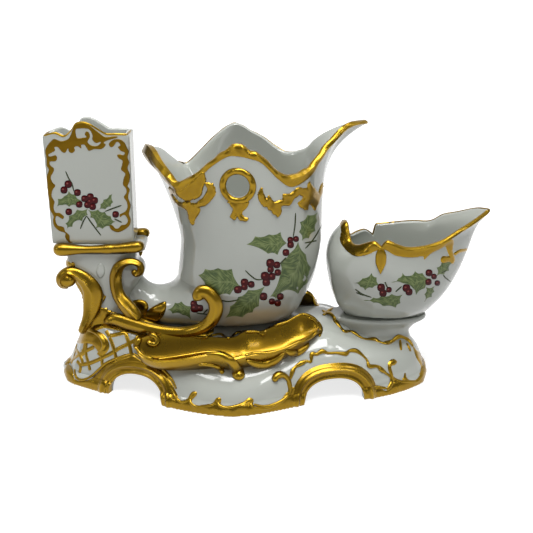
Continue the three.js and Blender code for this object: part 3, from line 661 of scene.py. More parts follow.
def gold_pair(name, make):
    """A piece of burnished gold at each long side. make(end) builds it at the front."""
    for end in ("front", "rear"):
        bm = make(end)
        if end == "rear":
            turn_to_rear(bm)
        gold_piece(bm, f"{name}_{end}_gilt", f"{name}_{end}")


# Pixels


def pixel_ray(pixel):
    """The direction in which the camera sees a pixel"""
    across = (pixel[0] - PICTURE_MIDDLE) / PICTURE_FOCAL
    down = (pixel[1] - PICTURE_MIDDLE) / PICTURE_FOCAL
    return (Vector((across, 0, 0)) - CAMERA_UP * down - CAMERA_BACK).normalized()


def to_pixels(points):
    """The pixels of an array of points, each taken at the front"""
    folded = np.stack((points[:, 0], -np.abs(points[:, 1]), points[:, 2]), axis=1)
    away = folded - np.array(CAMERA_PLACE)
    depth = -away @ np.array(CAMERA_BACK)
    across = PICTURE_MIDDLE + PICTURE_FOCAL * away[:, 0] / depth
    down = PICTURE_MIDDLE - PICTURE_FOCAL * (away @ np.array(CAMERA_UP)) / depth
    return np.stack((across, down), axis=1)


class Carrier:
    """The surface that carries a decoration"""

    def __init__(self, *bmeshes, rear=False):
        joined = bmesh.new()
        for bm in bmeshes:
            add_mesh(joined, bm)
        if rear:
            bmesh.ops.scale(joined, vec=(1, -1, 1), verts=joined.verts[:])
        self.tree = BVHTree.FromBMesh(joined)
        lows = [min(v.co[axis] for v in joined.verts) for axis in range(3)]
        highs = [max(v.co[axis] for v in joined.verts) for axis in range(3)]
        self.middle = (Vector(lows) + Vector(highs)) / 2
        joined.free()

    def along(self, origin, direction):
        """Where a ray meets the surface, or the nearest place where it passes by"""
        spot, normal, _, _ = self.tree.ray_cast(origin, direction)
        if spot is None:
            beside = origin + direction * (self.middle - origin).dot(direction)
            spot, normal, _, _ = self.tree.find_nearest(beside)
        if normal.dot(direction) > 0:
            normal = -normal
        return spot, normal

    def at(self, pixel):
        return self.along(CAMERA_PLACE, pixel_ray(pixel))

    def seen(self, pixel):
        """Whether the surface shows at a pixel"""
        return self.tree.ray_cast(CAMERA_PLACE, pixel_ray(pixel))[0] is not None


CARRIERS = {}


def carrier_of(meshes, rear=False):
    """The carrier of these meshes, made once"""
    key = (*[mesh.__name__ for mesh in meshes], rear)
    if key not in CARRIERS:
        CARRIERS[key] = Carrier(*[mesh() for mesh in meshes], rear=rear)
    return CARRIERS[key]


# Decorations laid on a carrier


def pad(bm, surface, steps, sides, rise, sink, power):
    """Adds a closed strip that follows surface(along, across). It swells above it by rise(along, across),
    reaches under it by sink, and is blunter at its ends with a higher power."""

    @cache
    def profile(along):
        end = blunt(along, power)
        points = []
        for turn in turns(sides):
            across = 0.5 - 0.5 * math.cos(turn) * end
            spot, normal = surface(along, across)
            swell = math.sin(turn)
            height = rise(along, across) * min(1, 1.25 * swell) if swell > 0 else sink * swell
            points.append(spot + normal * height * end)
        return points

    skin(bm, steps, profile)


def route_track(carrier, points, widths):
    """A surface that follows a route of pixels with a width in pixels"""
    wide = [[width] for width in widths]

    @cache
    def surface(along, across):
        here = smooth_row(points, along)
        before = smooth_row(points, along - 0.02)
        after = smooth_row(points, along + 0.02)
        way = Vector((after[0] - before[0], after[1] - before[1])).normalized()
        offset = (across - 0.5) * smooth_row(wide, along)[0]
        return carrier.at((here[0] - way.y * offset, here[1] + way.x * offset))

    return surface


def between_track(carrier, upper, lower):
    """A surface between two outlines of pixels"""

    @cache
    def surface(along, across):
        a, b = upper(along), lower(along)
        return carrier.at((a[0] + (b[0] - a[0]) * across, a[1] + (b[1] - a[1]) * across))

    return surface


# The size of a pixel on the object
PIXEL = 0.58 * MM
TUBE_SIDES = 14
# The depth in pixels of what lies far from all gold
FAR_OUTSIDE = -9.0
# A relief ends where the surface turns this far from the camera
GRAZING = -0.16
RELIEF_BACK = 0.4 * MM
RELIEF_MARGIN = 5
# How far in pixels round an outline its distance is measured
MEASURED = 4
LUMP_SIZE = 7
LUMP_DEPTH = 0.55
LEAF_HOLLOW = 1.6
STEM_WIDTH = 1.5
BERRY_GROWTH = 1.16


def tube(bm, places, outwards, radii, flatten, power, ridge):
    """Adds a closed tube through places, flattened in the directions in outwards, with a ridge on its
    back. Its ends are round, or taper with a power."""
    last = len(places) - 1
    gone = [0.0]
    for a, b in zip(places, places[1:]):
        gone.append(gone[-1] + (b - a).length)

    @cache
    def ring(share):
        i = min(round(share * last), last)
        tangent = (places[min(i + 1, last)] - places[max(i - 1, 0)]).normalized()
        outward = (outwards[i] - tangent * outwards[i].dot(tangent)).normalized()
        beside = tangent.cross(outward)
        if power:
            end = blunt(i / last, power)
        else:
            end = math.sqrt(1 - (1 - min(min(gone[i], gone[-1] - gone[i]) / radii[i], 1)) ** 2)
        points = []
        for turn in turns(TUBE_SIDES):
            high = flatten
            if math.sin(turn) > 0:
                high *= 1 + ridge * max(0, 1 - abs(math.cos(turn)) * 2.4)
            around = beside * math.cos(turn) + outward * math.sin(turn) * high
            points.append(places[i] + around * (radii[i] * end))
        return points

    skin(bm, last, ring)


def evened(points, passes):
    """Points drawn towards the middle of their neighbours, with both ends kept"""
    for _ in range(passes):
        inner = [(points[i - 1] + points[i] * 2 + points[i + 1]) / 4 for i in range(1, len(points) - 1)]
        points = [points[0], *inner, points[-1]]
    return points


def cordon(bm, carrier, route, widths, lift=0.25, flatten=0.8, passes=6, power=None, ridge=0.0):
    """Adds a round gilt moulding along a route of pixels, with a width in pixels at each of its points"""
    reach = sum(math.dist(a, b) for a, b in zip(route, route[1:]))
    steps = max(10, int(reach * 1.4))
    hits = [carrier.at(point) for point in dense(route, steps)]
    wide = dense([[width, 0] for width in widths], steps)
    radii = [max(width.x, 0.4) / 2 * PIXEL for width in wide]
    normals = evened([normal for _, normal in hits], passes + 6)
    places = [spot + normal * radius * lift for (spot, _), normal, radius in zip(hits, normals, radii)]
    tube(bm, evened(places, passes), normals, radii, flatten, power, ridge)


def near_to(pixels, outline, reach):
    """Which pixels lie in an outline's box, grown by reach"""
    corners = np.array(outline)
    return np.all((pixels > corners.min(0) - reach) & (pixels < corners.max(0) + reach), axis=1)


def depth_inside(pixels, areas, lines, holes=()):
    """How deep each pixel lies inside the nearest area or line, below zero outside and in a hole"""
    depth = np.full(len(pixels), FAR_OUTSIDE)
    for outline in areas:
        near = near_to(pixels, outline, MEASURED)
        distance, inside = outline_distance(pixels[near], rounded(outline, True), True)
        depth[near] = np.maximum(depth[near], np.where(inside, distance, -distance))
    for width, route in lines:
        near = near_to(pixels, route, width + MEASURED)
        distance, _ = outline_distance(pixels[near], rounded(route), False)
        depth[near] = np.maximum(depth[near], width / 2 - distance)
    for outline in holes:
        distance, inside = outline_distance(pixels, rounded(outline, True), True)
        depth = np.minimum(depth, np.where(inside, -distance, distance))
    return depth


def relief(
    bm, carrier, areas, lines, height, holes=(), edge=2.4, spacing=0.8, waves=None, away=None, feather=0
):
    """Adds gilt areas and lines as one raised skin: a fine grid in pixels, carried onto the surface, with
    its border sunk under it. waves(x, y) swells or lowers it from place to place, places where
    away(spot) holds are left out, and feather breaks its edge into brush strokes."""
    every = np.array([point for outline in [*areas, *(route for _, route in lines)] for point in outline])
    low, high = every.min(0) - RELIEF_MARGIN, every.max(0) + RELIEF_MARGIN
    columns, rows = [int(reach) for reach in (high - low) / spacing]
    verts = bmesh.ops.create_grid(bm, x_segments=columns, y_segments=rows, size=0.5)["verts"]
    pixels = np.array([(vert.co.x, vert.co.y) for vert in verts]) * (high - low) + (low + high) / 2
    depth = depth_inside(pixels, areas, lines, holes)
    if feather:
        near = np.abs(depth) < 2 * feather
        strokes = [noise.noise(Vector(((x + 0.5 * y) / 2.4, y / 9, 2.5))) for x, y in pixels[near]]
        depth[near] += np.array(strokes) * feather
    far = []
    for vert, pixel, deep in zip(verts, pixels, depth):
        if deep < -1.3 * spacing or not carrier.seen(pixel):
            far.append(vert)
            continue
        spot, normal = carrier.at(pixel)
        grazed = normal.dot(pixel_ray(pixel)) > GRAZING
        if spot.y > 0 or grazed or away and away(spot):
            far.append(vert)
            continue
        share = min(max(deep / edge, 0), 1)
        raised = math.sqrt(1 - (1 - share) ** 2) * height
        if waves:
            raised *= waves(*pixel)
        vert.co = spot + normal * (raised + min(deep, 0) * 0.3 * MM + 0.02 * MM)
    bmesh.ops.delete(bm, geom=far, context="VERTS")
    torn = [seam for seam in bm.edges if seam.calc_length() > 9 * spacing * PIXEL]
    bmesh.ops.delete(bm, geom=torn, context="EDGES")
    loose = [vert for vert in bm.verts if not vert.link_faces]
    bmesh.ops.delete(bm, geom=loose, context="VERTS")
    made = bmesh.ops.extrude_face_region(bm, geom=bm.faces[:])
    for vert in corners_of(made):
        vert.co += (vert.co - CAMERA_PLACE).normalized() * RELIEF_BACK
    bmesh.ops.recalc_face_normals(bm, faces=bm.faces[:])


def hammered(x, y):
    """Soft lumps of the gold at a pixel"""
    return 1 + LUMP_DEPTH * noise.noise(Vector((x / LUMP_SIZE, y / LUMP_SIZE, 0.5)))


def scalloped(points, hollow):
    """An outline through spines, drawn in between them by hollow pixels"""

    def outline(place):
        at = min(place, 1) * (len(points) - 1)
        i = min(int(at), len(points) - 2)
        t = at - i
        ax, ay = points[i]
        bx, by = points[i + 1]
        reach = math.hypot(bx - ax, by - ay) or 1
        inward = hollow * math.sin(math.pi * t) * min(1, reach / 8)
        return (
            ax + (bx - ax) * t - (by - ay) / reach * inward,
            ay + (by - ay) * t + (bx - ax) / reach * inward,
        )

    return outline


def leaf(bm, carrier, base, first_spines, tip, second_spines):
    """A painted leaf from its base to its tip, with spines along both edges"""
    spine = first_spines[0]
    turn = (tip[0] - base[0]) * (spine[1] - base[1]) - (tip[1] - base[1]) * (spine[0] - base[0])
    hollow = -LEAF_HOLLOW if turn > 0 else LEAF_HOLLOW
    first = scalloped([base, *first_spines, tip], hollow)
    second = scalloped([base, *second_spines, tip], -hollow)
    track = between_track(carrier, first, second)
    pad(bm, track, 36, 12, lambda along, across: 0.14 * MM, sink=0.2 * MM, power=30)


def berry(bm, carrier, x, y, radius):
    """A painted berry about a pixel"""
    radius *= BERRY_GROWTH
    track = route_track(carrier, [(x - radius, y), (x + radius, y)], [2 * radius, 2 * radius])
    pad(bm, track, 12, 10, lambda along, across: 0.3 * MM, sink=0.25 * MM, power=2)


def stem(bm, carrier, *points):
    """A painted stem along a route of pixels"""
    track = route_track(carrier, points, [STEM_WIDTH] * len(points))
    pad(bm, track, 14, 6, lambda along, across: 0.16 * MM, sink=0.2 * MM, power=4)


def painted(name, make, meshes, material="burnished_gold", slot="gilding"):
    """A piece of painting or gilding. make(bm, carrier) is called for the front and, where the rear wall
    differs, for the rear, and otherwise its work is mirrored."""
    own_rear = any(mesh in (vase_mesh, bowl_mesh) for mesh in meshes)
    joined = bmesh.new()
    for rear in (False, True):
        bm = bmesh.new()
        make(bm, carrier_of(meshes, rear and own_rear))
        close(bm)
        if rear:
            turn_to_rear(bm)
        add_mesh(joined, bm)
        bm.free()
    finish_piece(to_object(joined, name), material, slot)


# Gilding kept as a distance on the corners of a skin


def outline_distance(pixels, outline, closed):
    """Distance in pixels to an outline, and for a closed one whether a pixel lies inside"""
    corners = np.array(outline, float)
    ends = np.roll(corners, -1, axis=0)
    if not closed:
        corners, ends = corners[:-1], ends[:-1]
    nearest = np.full(len(pixels), 1e9)
    inside = np.zeros(len(pixels), bool)
    x, y = pixels[:, 0], pixels[:, 1]
    for (ax, ay), (bx, by) in zip(corners, ends):
        run = (bx - ax) ** 2 + (by - ay) ** 2 or 1
        t = np.clip(((x - ax) * (bx - ax) + (y - ay) * (by - ay)) / run, 0, 1)
        nearest = np.minimum(nearest, np.hypot(x - ax - t * (bx - ax), y - ay - t * (by - ay)))
        if closed and ay != by:
            crossed = ((ay > y) != (by > y)) & (x < ax + (y - ay) * (bx - ax) / (by - ay))
            inside ^= crossed
    return nearest, inside


def rounded(points, closed=False, steps=3):
    """A route or outline of pixels made smooth"""
    rows = [points[-1], *points, points[0], points[1]] if closed else points
    made = [tuple(place) for place in dense(rows, steps * (len(rows) - 1))]
    return made[steps:-steps] if closed else made


def gilded(name, mesh, areas, lines, height, finish="burnished_gold", **options):
    """Raised gilding over a piece, front and rear"""

    def make(bm, carrier):
        relief(bm, carrier, areas, lines, height, waves=hammered, **options)

    painted(name, make, [mesh], finish)


def read_corners(mesh, kind):
    """The places or normals of a mesh's corners as an array"""
    values = np.zeros(len(mesh.vertices) * 3)
    mesh.vertices.foreach_get(kind, values)
    return values.reshape(-1, 3)


def gild(piece, areas, lines, raise_height, outward, attribute="gilding"):
    """Marks the piece's outer corners with their depth in pixels inside the gilt areas and lines, and
    raises them a little. outward(points, normals) says which corners may be gilt."""
    mesh = piece.data
    points, normals = read_corners(mesh, "co"), read_corners(mesh, "normal")
    depth = depth_inside(to_pixels(points), areas, lines)
    depth[~outward(points, normals)] = FAR_OUTSIDE
    step = np.clip(depth / 2.2 + 0.2, 0, 1)
    lift = step * step * (3 - 2 * step) * raise_height
    mesh.vertices.foreach_set("co", (points + normals * lift[:, None]).ravel())
    mesh.attributes.new(attribute, "FLOAT", "POINT").data.foreach_set("value", depth.astype(np.float32))
    mesh.update()


# Materials

GLAZE = "Glaze unevenness"
GILT = "Burnished gilding"


def add_node(tree, kind, values=None, **options):
    """A node with its options and with values or links on its sockets"""
    node = tree.nodes.new(kind)
    for key, value in options.items():
        setattr(node, key, value)
    feed(tree, node, values or {})
    return node


def feed(tree, node, values):
    """Puts plain values or links on a node's sockets"""
    for socket, value in values.items():
        if isinstance(value, bpy.types.NodeSocket):
            tree.links.new(value, node.inputs[socket])
        else:
            node.inputs[socket].default_value = value


def math_node(tree, operation, first, second=0.0, clamp=False):
    values = {0: first, 1: second}
    return add_node(tree, "ShaderNodeMath", values, operation=operation, use_clamp=clamp).outputs[0]


def times(tree, first, second):
    return math_node(tree, "MULTIPLY", first, second)


def mix_colour(tree, factor, first, second):
    """A mix of two colours, which are sockets 6 and 7 of the node and its output 2"""
    values = {"Factor": factor, 6: first, 7: second}
    return add_node(tree, "ShaderNodeMix", values, data_type="RGBA").outputs[2]


def ramp(tree, value, low, high, first=0.0, last=1.0):
    """A value carried from the range low to high onto the range first to last"""
    values = {"Value": value, "From Min": low, "From Max": high, "To Min": first, "To Max": last}
    return add_node(tree, "ShaderNodeMapRange", values).outputs["Result"]


def cloud(tree, place, scale, detail, roughness=0.5):
    """Soft noise at a place"""
    values = {"Vector": place, "Scale": scale, "Detail": detail, "Roughness": roughness}
    return add_node(tree, "ShaderNodeTexNoise", values).outputs["Fac"]


def pointiness(tree):
    return add_node(tree, "ShaderNodeNewGeometry").outputs["Pointiness"]


def group(name, inputs, outputs):
    """An empty node group: its tree, the sockets that it is given and its output node"""
    tree = bpy.data.node_groups.new(name, "ShaderNodeTree")
    for socket, value in inputs.items():
        kind = "NodeSocketColor" if isinstance(value, tuple) else "NodeSocketFloat"
        tree.interface.new_socket(socket, in_out="INPUT", socket_type=kind).default_value = value
    for socket, kind in outputs.items():
        tree.interface.new_socket(socket, in_out="OUTPUT", socket_type=kind)
    return tree, add_node(tree, "NodeGroupInput").outputs, add_node(tree, "NodeGroupOutput")


def object_coordinates(tree):
    return add_node(tree, "ShaderNodeTexCoord").outputs["Object"]


def glaze_group():
    """Soft unevenness of a fired glaze: a slow tint and fine ripples"""
    tree, given, result = group(
        GLAZE,
        {"Tint scale": 22, "Ripple scale": 90, "Ripple": 0.05},
        {"Tint": "NodeSocketFloat", "Normal": "NodeSocketVector"},
    )
    place = object_coordinates(tree)
    ripple = cloud(tree, place, given["Ripple scale"], 1)
    bump = {"Strength": given["Ripple"], "Distance": 0.002, "Height": ripple}
    normal = add_node(tree, "ShaderNodeBump", bump).outputs["Normal"]
    feed(tree, result, {"Tint": cloud(tree, place, given["Tint scale"], 3), "Normal": normal})


def gilding_group():
    """Brushed and burnished gold: painted shade in hollows, thin in brush marks, smooth where it is rubbed"""
    tree, given, result = group(
        GILT,
        {"Gold": (0.6, 0.3, 0.05, 1), "Deep and shaded gold": (0.3, 0.15, 0.02, 1), "Brush": 0.35, "Roughness": 0.2},
        {"Color": "NodeSocketColor", "Roughness": "NodeSocketFloat", "Normal": "NodeSocketVector"},
    )
    place = object_coordinates(tree)
    slow = cloud(tree, place, 60, 3, 0.6)
    stretched = add_node(tree, "ShaderNodeMapping", {"Vector": place, "Scale": (1, 1, 5)}).outputs[0]
    # Convex places take the bright gold and hollows the deep gold, which is painted shade
    raised = ramp(tree, pointiness(tree), 0.42, 0.54)
    rubbed = math_node(tree, "SUBTRACT", raised, times(tree, slow, given["Brush"]), clamp=True)
    bump = {"Strength": 0.05, "Distance": 0.0008, "Height": cloud(tree, stretched, 420, 2)}
    gold = {
        "Color": mix_colour(tree, rubbed, given["Deep and shaded gold"], given["Gold"]),
        "Roughness": math_node(tree, "ADD", given["Roughness"], times(tree, slow, 0.16)),
        "Normal": add_node(tree, "ShaderNodeBump", bump).outputs["Normal"],
    }
    feed(tree, result, gold)


def new_material(name):
    """A new material's node tree and its shader"""
    material = bpy.data.materials.new(name)
    material.use_nodes = True
    tree = material.node_tree
    tree.nodes.clear()
    shader = add_node(tree, "ShaderNodeBsdfPrincipled")
    add_node(tree, "ShaderNodeOutputMaterial", {"Surface": shader.outputs[0]})
    return tree, shader


def use_group(tree, name, values=None):
    """The outputs of a node group placed in a material"""
    return add_node(tree, "ShaderNodeGroup", values, node_tree=bpy.data.node_groups[name]).outputs


def porcelain_material():
    """White glaze, with gold where the piece's gilding attribute says so"""
    finish = settings("finish")
    tree, shader = new_material("glazed_porcelain")
    glaze = use_group(tree, GLAZE)
    gold = use_group(tree, GILT, {"Gold": finish.gold, "Deep and shaded gold": finish.gold_deep_and_shaded, "Brush": 0.5})
    # Hollows take the pooled glaze colour: partly pooled glaze, partly painted shade
    pooled_and_shaded = times(tree, ramp(tree, pointiness(tree), 0.5, 0.44), 0.9)
    tint_pool_and_shade = math_node(tree, "ADD", times(tree, glaze["Tint"], 0.35), pooled_and_shaded, clamp=True)
    white = mix_colour(tree, tint_pool_and_shade, finish.glaze, finish.glaze_pool_and_shade)
    # A warm tint low on the vase's outer wall, broken up by the glaze tint
    warmth = add_node(tree, "ShaderNodeAttribute", attribute_name="warm_tint").outputs["Fac"]
    strokes = math_node(tree, "ADD", glaze["Tint"], 0.35)
    warm_share = math_node(tree, "MULTIPLY", warmth, strokes, clamp=True)
    white = mix_colour(tree, warm_share, white, finish.glaze_warm)
    depth = add_node(tree, "ShaderNodeAttribute", attribute_name="gilding").outputs["Fac"]
    covered = ramp(tree, depth, 0.02, 0.5)
    rough = add_node(tree, "ShaderNodeMix", {"Factor": covered, "A": 0.07, "B": gold["Roughness"]})
    surface = {
        "Base Color": mix_colour(tree, covered, white, gold["Color"]),
        "Metallic": covered,
        "Roughness": rough.outputs["Result"],
        "Normal": glaze["Normal"],
        "IOR": 1.52,
    }
    feed(tree, shader, surface)


def gold_material(name, gold, roughness, coat):
    """Gold rubbed bright under a thin coat, or flat painted gold without one"""
    tree, shader = new_material(name)
    values = {"Gold": gold, "Deep and shaded gold": settings("finish").gold_deep_and_shaded, "Roughness": roughness}
    gilt = use_group(tree, GILT, values)
    surface = {
        "Base Color": gilt["Color"],
        "Roughness": gilt["Roughness"],
        "Normal": gilt["Normal"],
        "Metallic": 1,
        "Coat Weight": coat,
        "Coat Roughness": 0.08,
    }
    feed(tree, shader, surface)


def paint_material(name, picture, tint_scale, roughness, specular):
    """Ceramic paint with a soft glaze. picture(tree, tint) makes its colour."""
    tree, shader = new_material(name)
    glaze = use_group(tree, GLAZE, {"Tint scale": tint_scale, "Ripple": 0.02})
    surface = {
        "Base Color": picture(tree, glaze["Tint"]),
        "Normal": glaze["Normal"],
        "Roughness": roughness,
        "Specular IOR Level": specular,
    }
    feed(tree, shader, surface)


def own_map(tree):
    """Where a painted piece's surface lies along it and round it, each from 0 to 1"""
    place = add_node(tree, "ShaderNodeUVMap").outputs["UV"]
    split = add_node(tree, "ShaderNodeSeparateXYZ", {"Vector": place}).outputs
    return split["X"], math_node(tree, "COSINE", times(tree, split["Y"], 2 * math.pi))


def leaf_picture(tree, tint):
    """Holly leaf: a pale midrib, branching veins, brush strokes and a darker edge"""
    finish = settings("finish")
    along, across = own_map(tree)
    aside = math_node(tree, "ABSOLUTE", times(tree, across, -0.5))
    rib = ramp(tree, aside, 0.055, 0.0)
    slant = math_node(tree, "SUBTRACT", times(tree, along, 7), times(tree, aside, 3.4))
    wave = math_node(tree, "SUBTRACT", math_node(tree, "FRACT", slant), 0.5)
    vein = ramp(tree, math_node(tree, "ABSOLUTE", wave), 0.09, 0.0, last=0.55)
    veins = math_node(tree, "MAXIMUM", rib, vein)
    strokes = add_node(tree, "ShaderNodeCombineXYZ", {"X": slant, "Y": times(tree, aside, 1.5)}).outputs[0]
    brush = cloud(tree, strokes, 3.2, 3)
    body = mix_colour(tree, tint, finish.leaf_dark, finish.leaf_pale)
    for share, laid in (
        (0.6, finish.leaf),
        (times(tree, ramp(tree, aside, 0.3, 0.5), 0.3), finish.leaf_dark),
        (ramp(tree, brush, 0.42, 0.66, last=0.7), finish.leaf_dark),
        (ramp(tree, brush, 0.5, 0.3, last=0.6), finish.leaf_pale),
        (times(tree, veins, 0.5), finish.leaf_pale),
    ):
        body = mix_colour(tree, share, body, laid)
    return body


def squared_reach(tree, across, along):
    """The squared distance of a place from the middle"""
    return math_node(tree, "ADD", times(tree, across, across), times(tree, along, along))


def berry_picture(tree, tint):
    """Red berry with a dark outline and one small pale brush mark"""
    finish = settings("finish")
    place, turned = own_map(tree)
    along = math_node(tree, "SUBTRACT", place, 0.5)
    chord = math_node(tree, "SQRT", math_node(tree, "SUBTRACT", 0.25, times(tree, along, along)))
    across = times(tree, turned, chord)
    mark_along = math_node(tree, "ADD", along, 0.1)
    mark_across = math_node(tree, "SUBTRACT", across, 0.12)
    mark = ramp(tree, squared_reach(tree, mark_along, mark_across), 0.02, 0.002)
    red = finish.berry
    for share, laid in (
        (times(tree, tint, 0.5), finish.berry_dark),
        (ramp(tree, squared_reach(tree, along, across), 0.11, 0.24), finish.berry_dark),
        (times(tree, mark, 0.6), finish.berry_light),
    ):
        red = mix_colour(tree, share, red, laid)
    return red


def stem_picture(tree, tint):
    """Brown green stem"""
    finish = settings("finish")
    return mix_colour(tree, tint, finish.stem, finish.leaf_dark)


# The base


def base_foot(place, grow):
    """A point on the base's foot line, grown outwards"""
    base = settings("base")
    here = smooth_row(BASE_SHARES, place)
    before = smooth_row(BASE_SHARES, place - 0.01)
    after = smooth_row(BASE_SHARES, place + 0.01)
    tangent = Vector(((after[0] - before[0]) * base.length, (before[1] - after[1]) * base.half_depth))
    if place <= 0:
        tangent = Vector((0, -1))
    if place >= 1:
        tangent = Vector((0, 1))
    tangent.normalize()
    x = base.left + here[0] * base.length + tangent.y * grow
    return Vector((x, -here[1] * base.half_depth - tangent.x * grow, 0))


def base_wall(place, rise, grow):
    """A point on the base's wall: rise 0 at the foot and 1 at the shelf"""
    base = settings("base")
    here = smooth_row(BASE_SHARES, place)
    foot = base_foot(place, grow)
    turn = rise * math.pi / 2
    inward = here[6] * (1 - math.cos(turn)) + (1 - here[6]) * math.sin(turn)
    shelf = Vector((base.left + here[2] * base.length, -here[3] * base.half_depth, 0))
    spot = foot.lerp(shelf, inward)
    spot.z = math.sin(turn) * (here[4] * base.height + grow)
    return spot


def base_ridge(place, grow, share=RIDGE_SHARE):
    """A point between the middle of the base's ridge, at share 0, and the edge of its shelf"""
    base = settings("base")
    here = smooth_row(BASE_SHARES, place)
    x = base.left + here[2] * base.length
    return Vector((x, -here[3] * base.half_depth * share, here[5] * base.height + grow))


BASE_COLUMNS = 720
BASE_WALL_ROWS = 64
FOOT_LIP_SHARE = 1.35
# The foot's edge from top to bottom: how far out and how high
FOOT_SHARES = [(0.45, FOOT_LIP_SHARE), (0.85, 1.0), (1, 0.75), (1, 0.4), (0.85, 0.1), (0.55, 0)]
CUTTER_OVERRUN = 12 * MM
ARCH_STEPS = 40
# How far flat gold lies above the glaze
THIN_GOLD = 0.1 * MM


def base_profile(around):
    """The base's points from the middle of its ridge out to its foot and back inside"""
    base = settings("base")
    place = min(around, 1 - around) * 2
    side = 1 if around <= 0.5 else -1
    middle = base_ridge(place, 0, 0)
    ridge = base_ridge(place, 0)
    shelf = base_wall(place, 1, 0)
    rows = [middle, middle.lerp(ridge, 0.5), ridge, ridge.lerp(shelf, 0.35), ridge.lerp(shelf, 0.7)]
    lip = FOOT_LIP_SHARE * 1.25 * base.foot_height / shelf.z
    lowest = math.asin(lip) * 2 / math.pi
    for step in range(BASE_WALL_ROWS + 1):
        rows.append(base_wall(place, 1 - (1 - lowest) * step / BASE_WALL_ROWS, 0))
    for raised, height in FOOT_SHARES:
        spot = base_foot(place, base.foot_raise * raised)
        spot.z = base.foot_height * height
        rows.append(spot)
    rows.append(base_foot(place, -base.wall))
    rows += [base_wall(place, step / 8, -base.wall) for step in range(1, 9)]
    rows += [base_ridge(place, -base.wall), base_ridge(place, -base.wall, 0)]
    return [Vector((spot.x, spot.y * side, spot.z)) for spot in rows]


def base_mesh():
    return closed_skin(BASE_COLUMNS, base_profile)


def arch_frame(share):
    """An arch's middle on the foot line, its outward direction and its direction along the foot"""
    place = 0.0
    while smooth_row(BASE_SHARES, place)[0] < share:
        place += 0.002
    foot = base_foot(place, 0)
    outward = (base_foot(place, 1) - foot).normalized()
    return foot, outward, Vector((0, 0, 1)).cross(outward)


def arch_spot(turn, grow):
    """A point of the arch's outline: turn 0 at its right foot and pi at its left foot"""
    base = settings("base")
    c, s = math.cos(turn), max(math.sin(turn), 0)
    x = math.copysign(abs(c) ** ARCH_POWER, c) * (base.arch_width / 2 + grow)
    return x, s**ARCH_POWER * (base.arch_height + grow)


def arch_cutter(share, rear):
    """A solid of the arch's outline that reaches through the wall"""
    base = settings("base")
    foot, outward, along = arch_frame(share)
    bm = bmesh.new()
    outline = [(base.arch_width / 2, -CUTTER_OVERRUN)]
    outline += [arch_spot(math.pi * step / ARCH_STEPS, 0) for step in range(ARCH_STEPS + 1)]
    outline.append((-base.arch_width / 2, -CUTTER_OVERRUN))
    start = foot - outward * base.half_depth / 2
    made = bmesh.ops.create_circle(bm, cap_ends=True, segments=len(outline), radius=1)
    for vert, (x, z) in zip(made["verts"], outline):
        spot = start + along * x
        vert.co = (spot.x, spot.y, z)
    made = bmesh.ops.extrude_face_region(bm, geom=bm.faces[:])
    reach = outward * (base.half_depth / 2 + CUTTER_OVERRUN)
    bmesh.ops.translate(bm, vec=reach, verts=corners_of(made))
    if rear:
        bmesh.ops.scale(bm, vec=(1, -1, 1), verts=bm.verts[:])
    bmesh.ops.recalc_face_normals(bm, faces=bm.faces[:])
    return to_object(bm, "arch_cutter")


# Gilt areas and lines of the base, in pixels
LEFT_FOOT_GOLD = [
    (50, 372), (63.6, 370), (67.7, 363.2), (73.2, 370.5), (74.1, 378.6), (81.4, 381.4), (91.4, 378.6),
    (100.5, 370.5), (105.9, 365), (113.2, 361.4), (118.6, 359.5), (127.7, 355.9), (133.2, 355), (142, 361),
    (155, 367), (164, 373.5), (171, 382), (175, 390), (178, 398), (180, 425), (50, 425),
]
MIDDLE_FOOT_GOLD = [
    (170, 388), (174, 393.3), (176.7, 398.7), (181.3, 400.7), (187.3, 398.7), (190.7, 393.3), (194, 391.3),
    (197.3, 394), (191.3, 401.3), (196.7, 405.3), (204.7, 404.7), (212.7, 403.3), (215.3, 399.3),
    (218.7, 397.3), (221.3, 399.3), (220.7, 404), (226, 406), (235.3, 404.7), (243.3, 402), (248.7, 398),
    (253.3, 399.3), (253.3, 405.3), (260.7, 406.7), (271.3, 405.3), (280.7, 400), (286, 393.3), (290, 391),
    (294, 387), (306, 400), (306, 430), (170, 430),
]
RIGHT_FOOT_GOLD = [
    (362, 396), (372, 389), (376.7, 387.2), (382.2, 389.4), (386.7, 390.6), (391.1, 382.8), (390, 375),
    (387.8, 368.3), (388.9, 361.7), (393.3, 358.9), (397.2, 361.7), (394.4, 365), (391.1, 366),
        (391.1, 371.7),
    (394.4, 377.2), (402.2, 380), (405, 372.2), (407.8, 379.4), (415.6, 380), (420, 375), (427, 370),
    (438, 385), (430, 410), (362, 410),
]
RIGHT_BULGE_GOLD = [
    (413, 346), (416.7, 350), (424, 354), (434, 357), (434, 376), (420, 376), (421.5, 368), (418.9, 362),
    (416, 357),
]
SHELL_GOLD = [
    (78, 326), (85.9, 330.5), (91.4, 329.5), (100.5, 332.3), (106.8, 338.6), (109.5, 345.9), (106.8, 352.3),
    (100.5, 356.4), (97.7, 351.4), (95, 347.7), (91.4, 344.1), (85, 343.6), (76.8, 343.2), (70, 344),
]
HOOK_ROOT_GOLD = [
    (100, 300), (118, 315), (127, 325), (150, 328), (175, 331), (196, 329), (206, 322), (213, 325),
        (207, 336),
    (150, 338), (134, 334), (120, 331), (104, 328), (90, 333), (84, 330), (84, 310),
]
SHELL_RIDGE_LINE = [(83, 330.5), (91.5, 330.8), (99, 334.5), (103.5, 340), (104.3, 346.5), (100.5, 351.5)]
BASE_GOLD = [LEFT_FOOT_GOLD, MIDDLE_FOOT_GOLD, RIGHT_FOOT_GOLD, RIGHT_BULGE_GOLD, SHELL_GOLD, HOOK_ROOT_GOLD]
LATTICE_WIDTH = 4
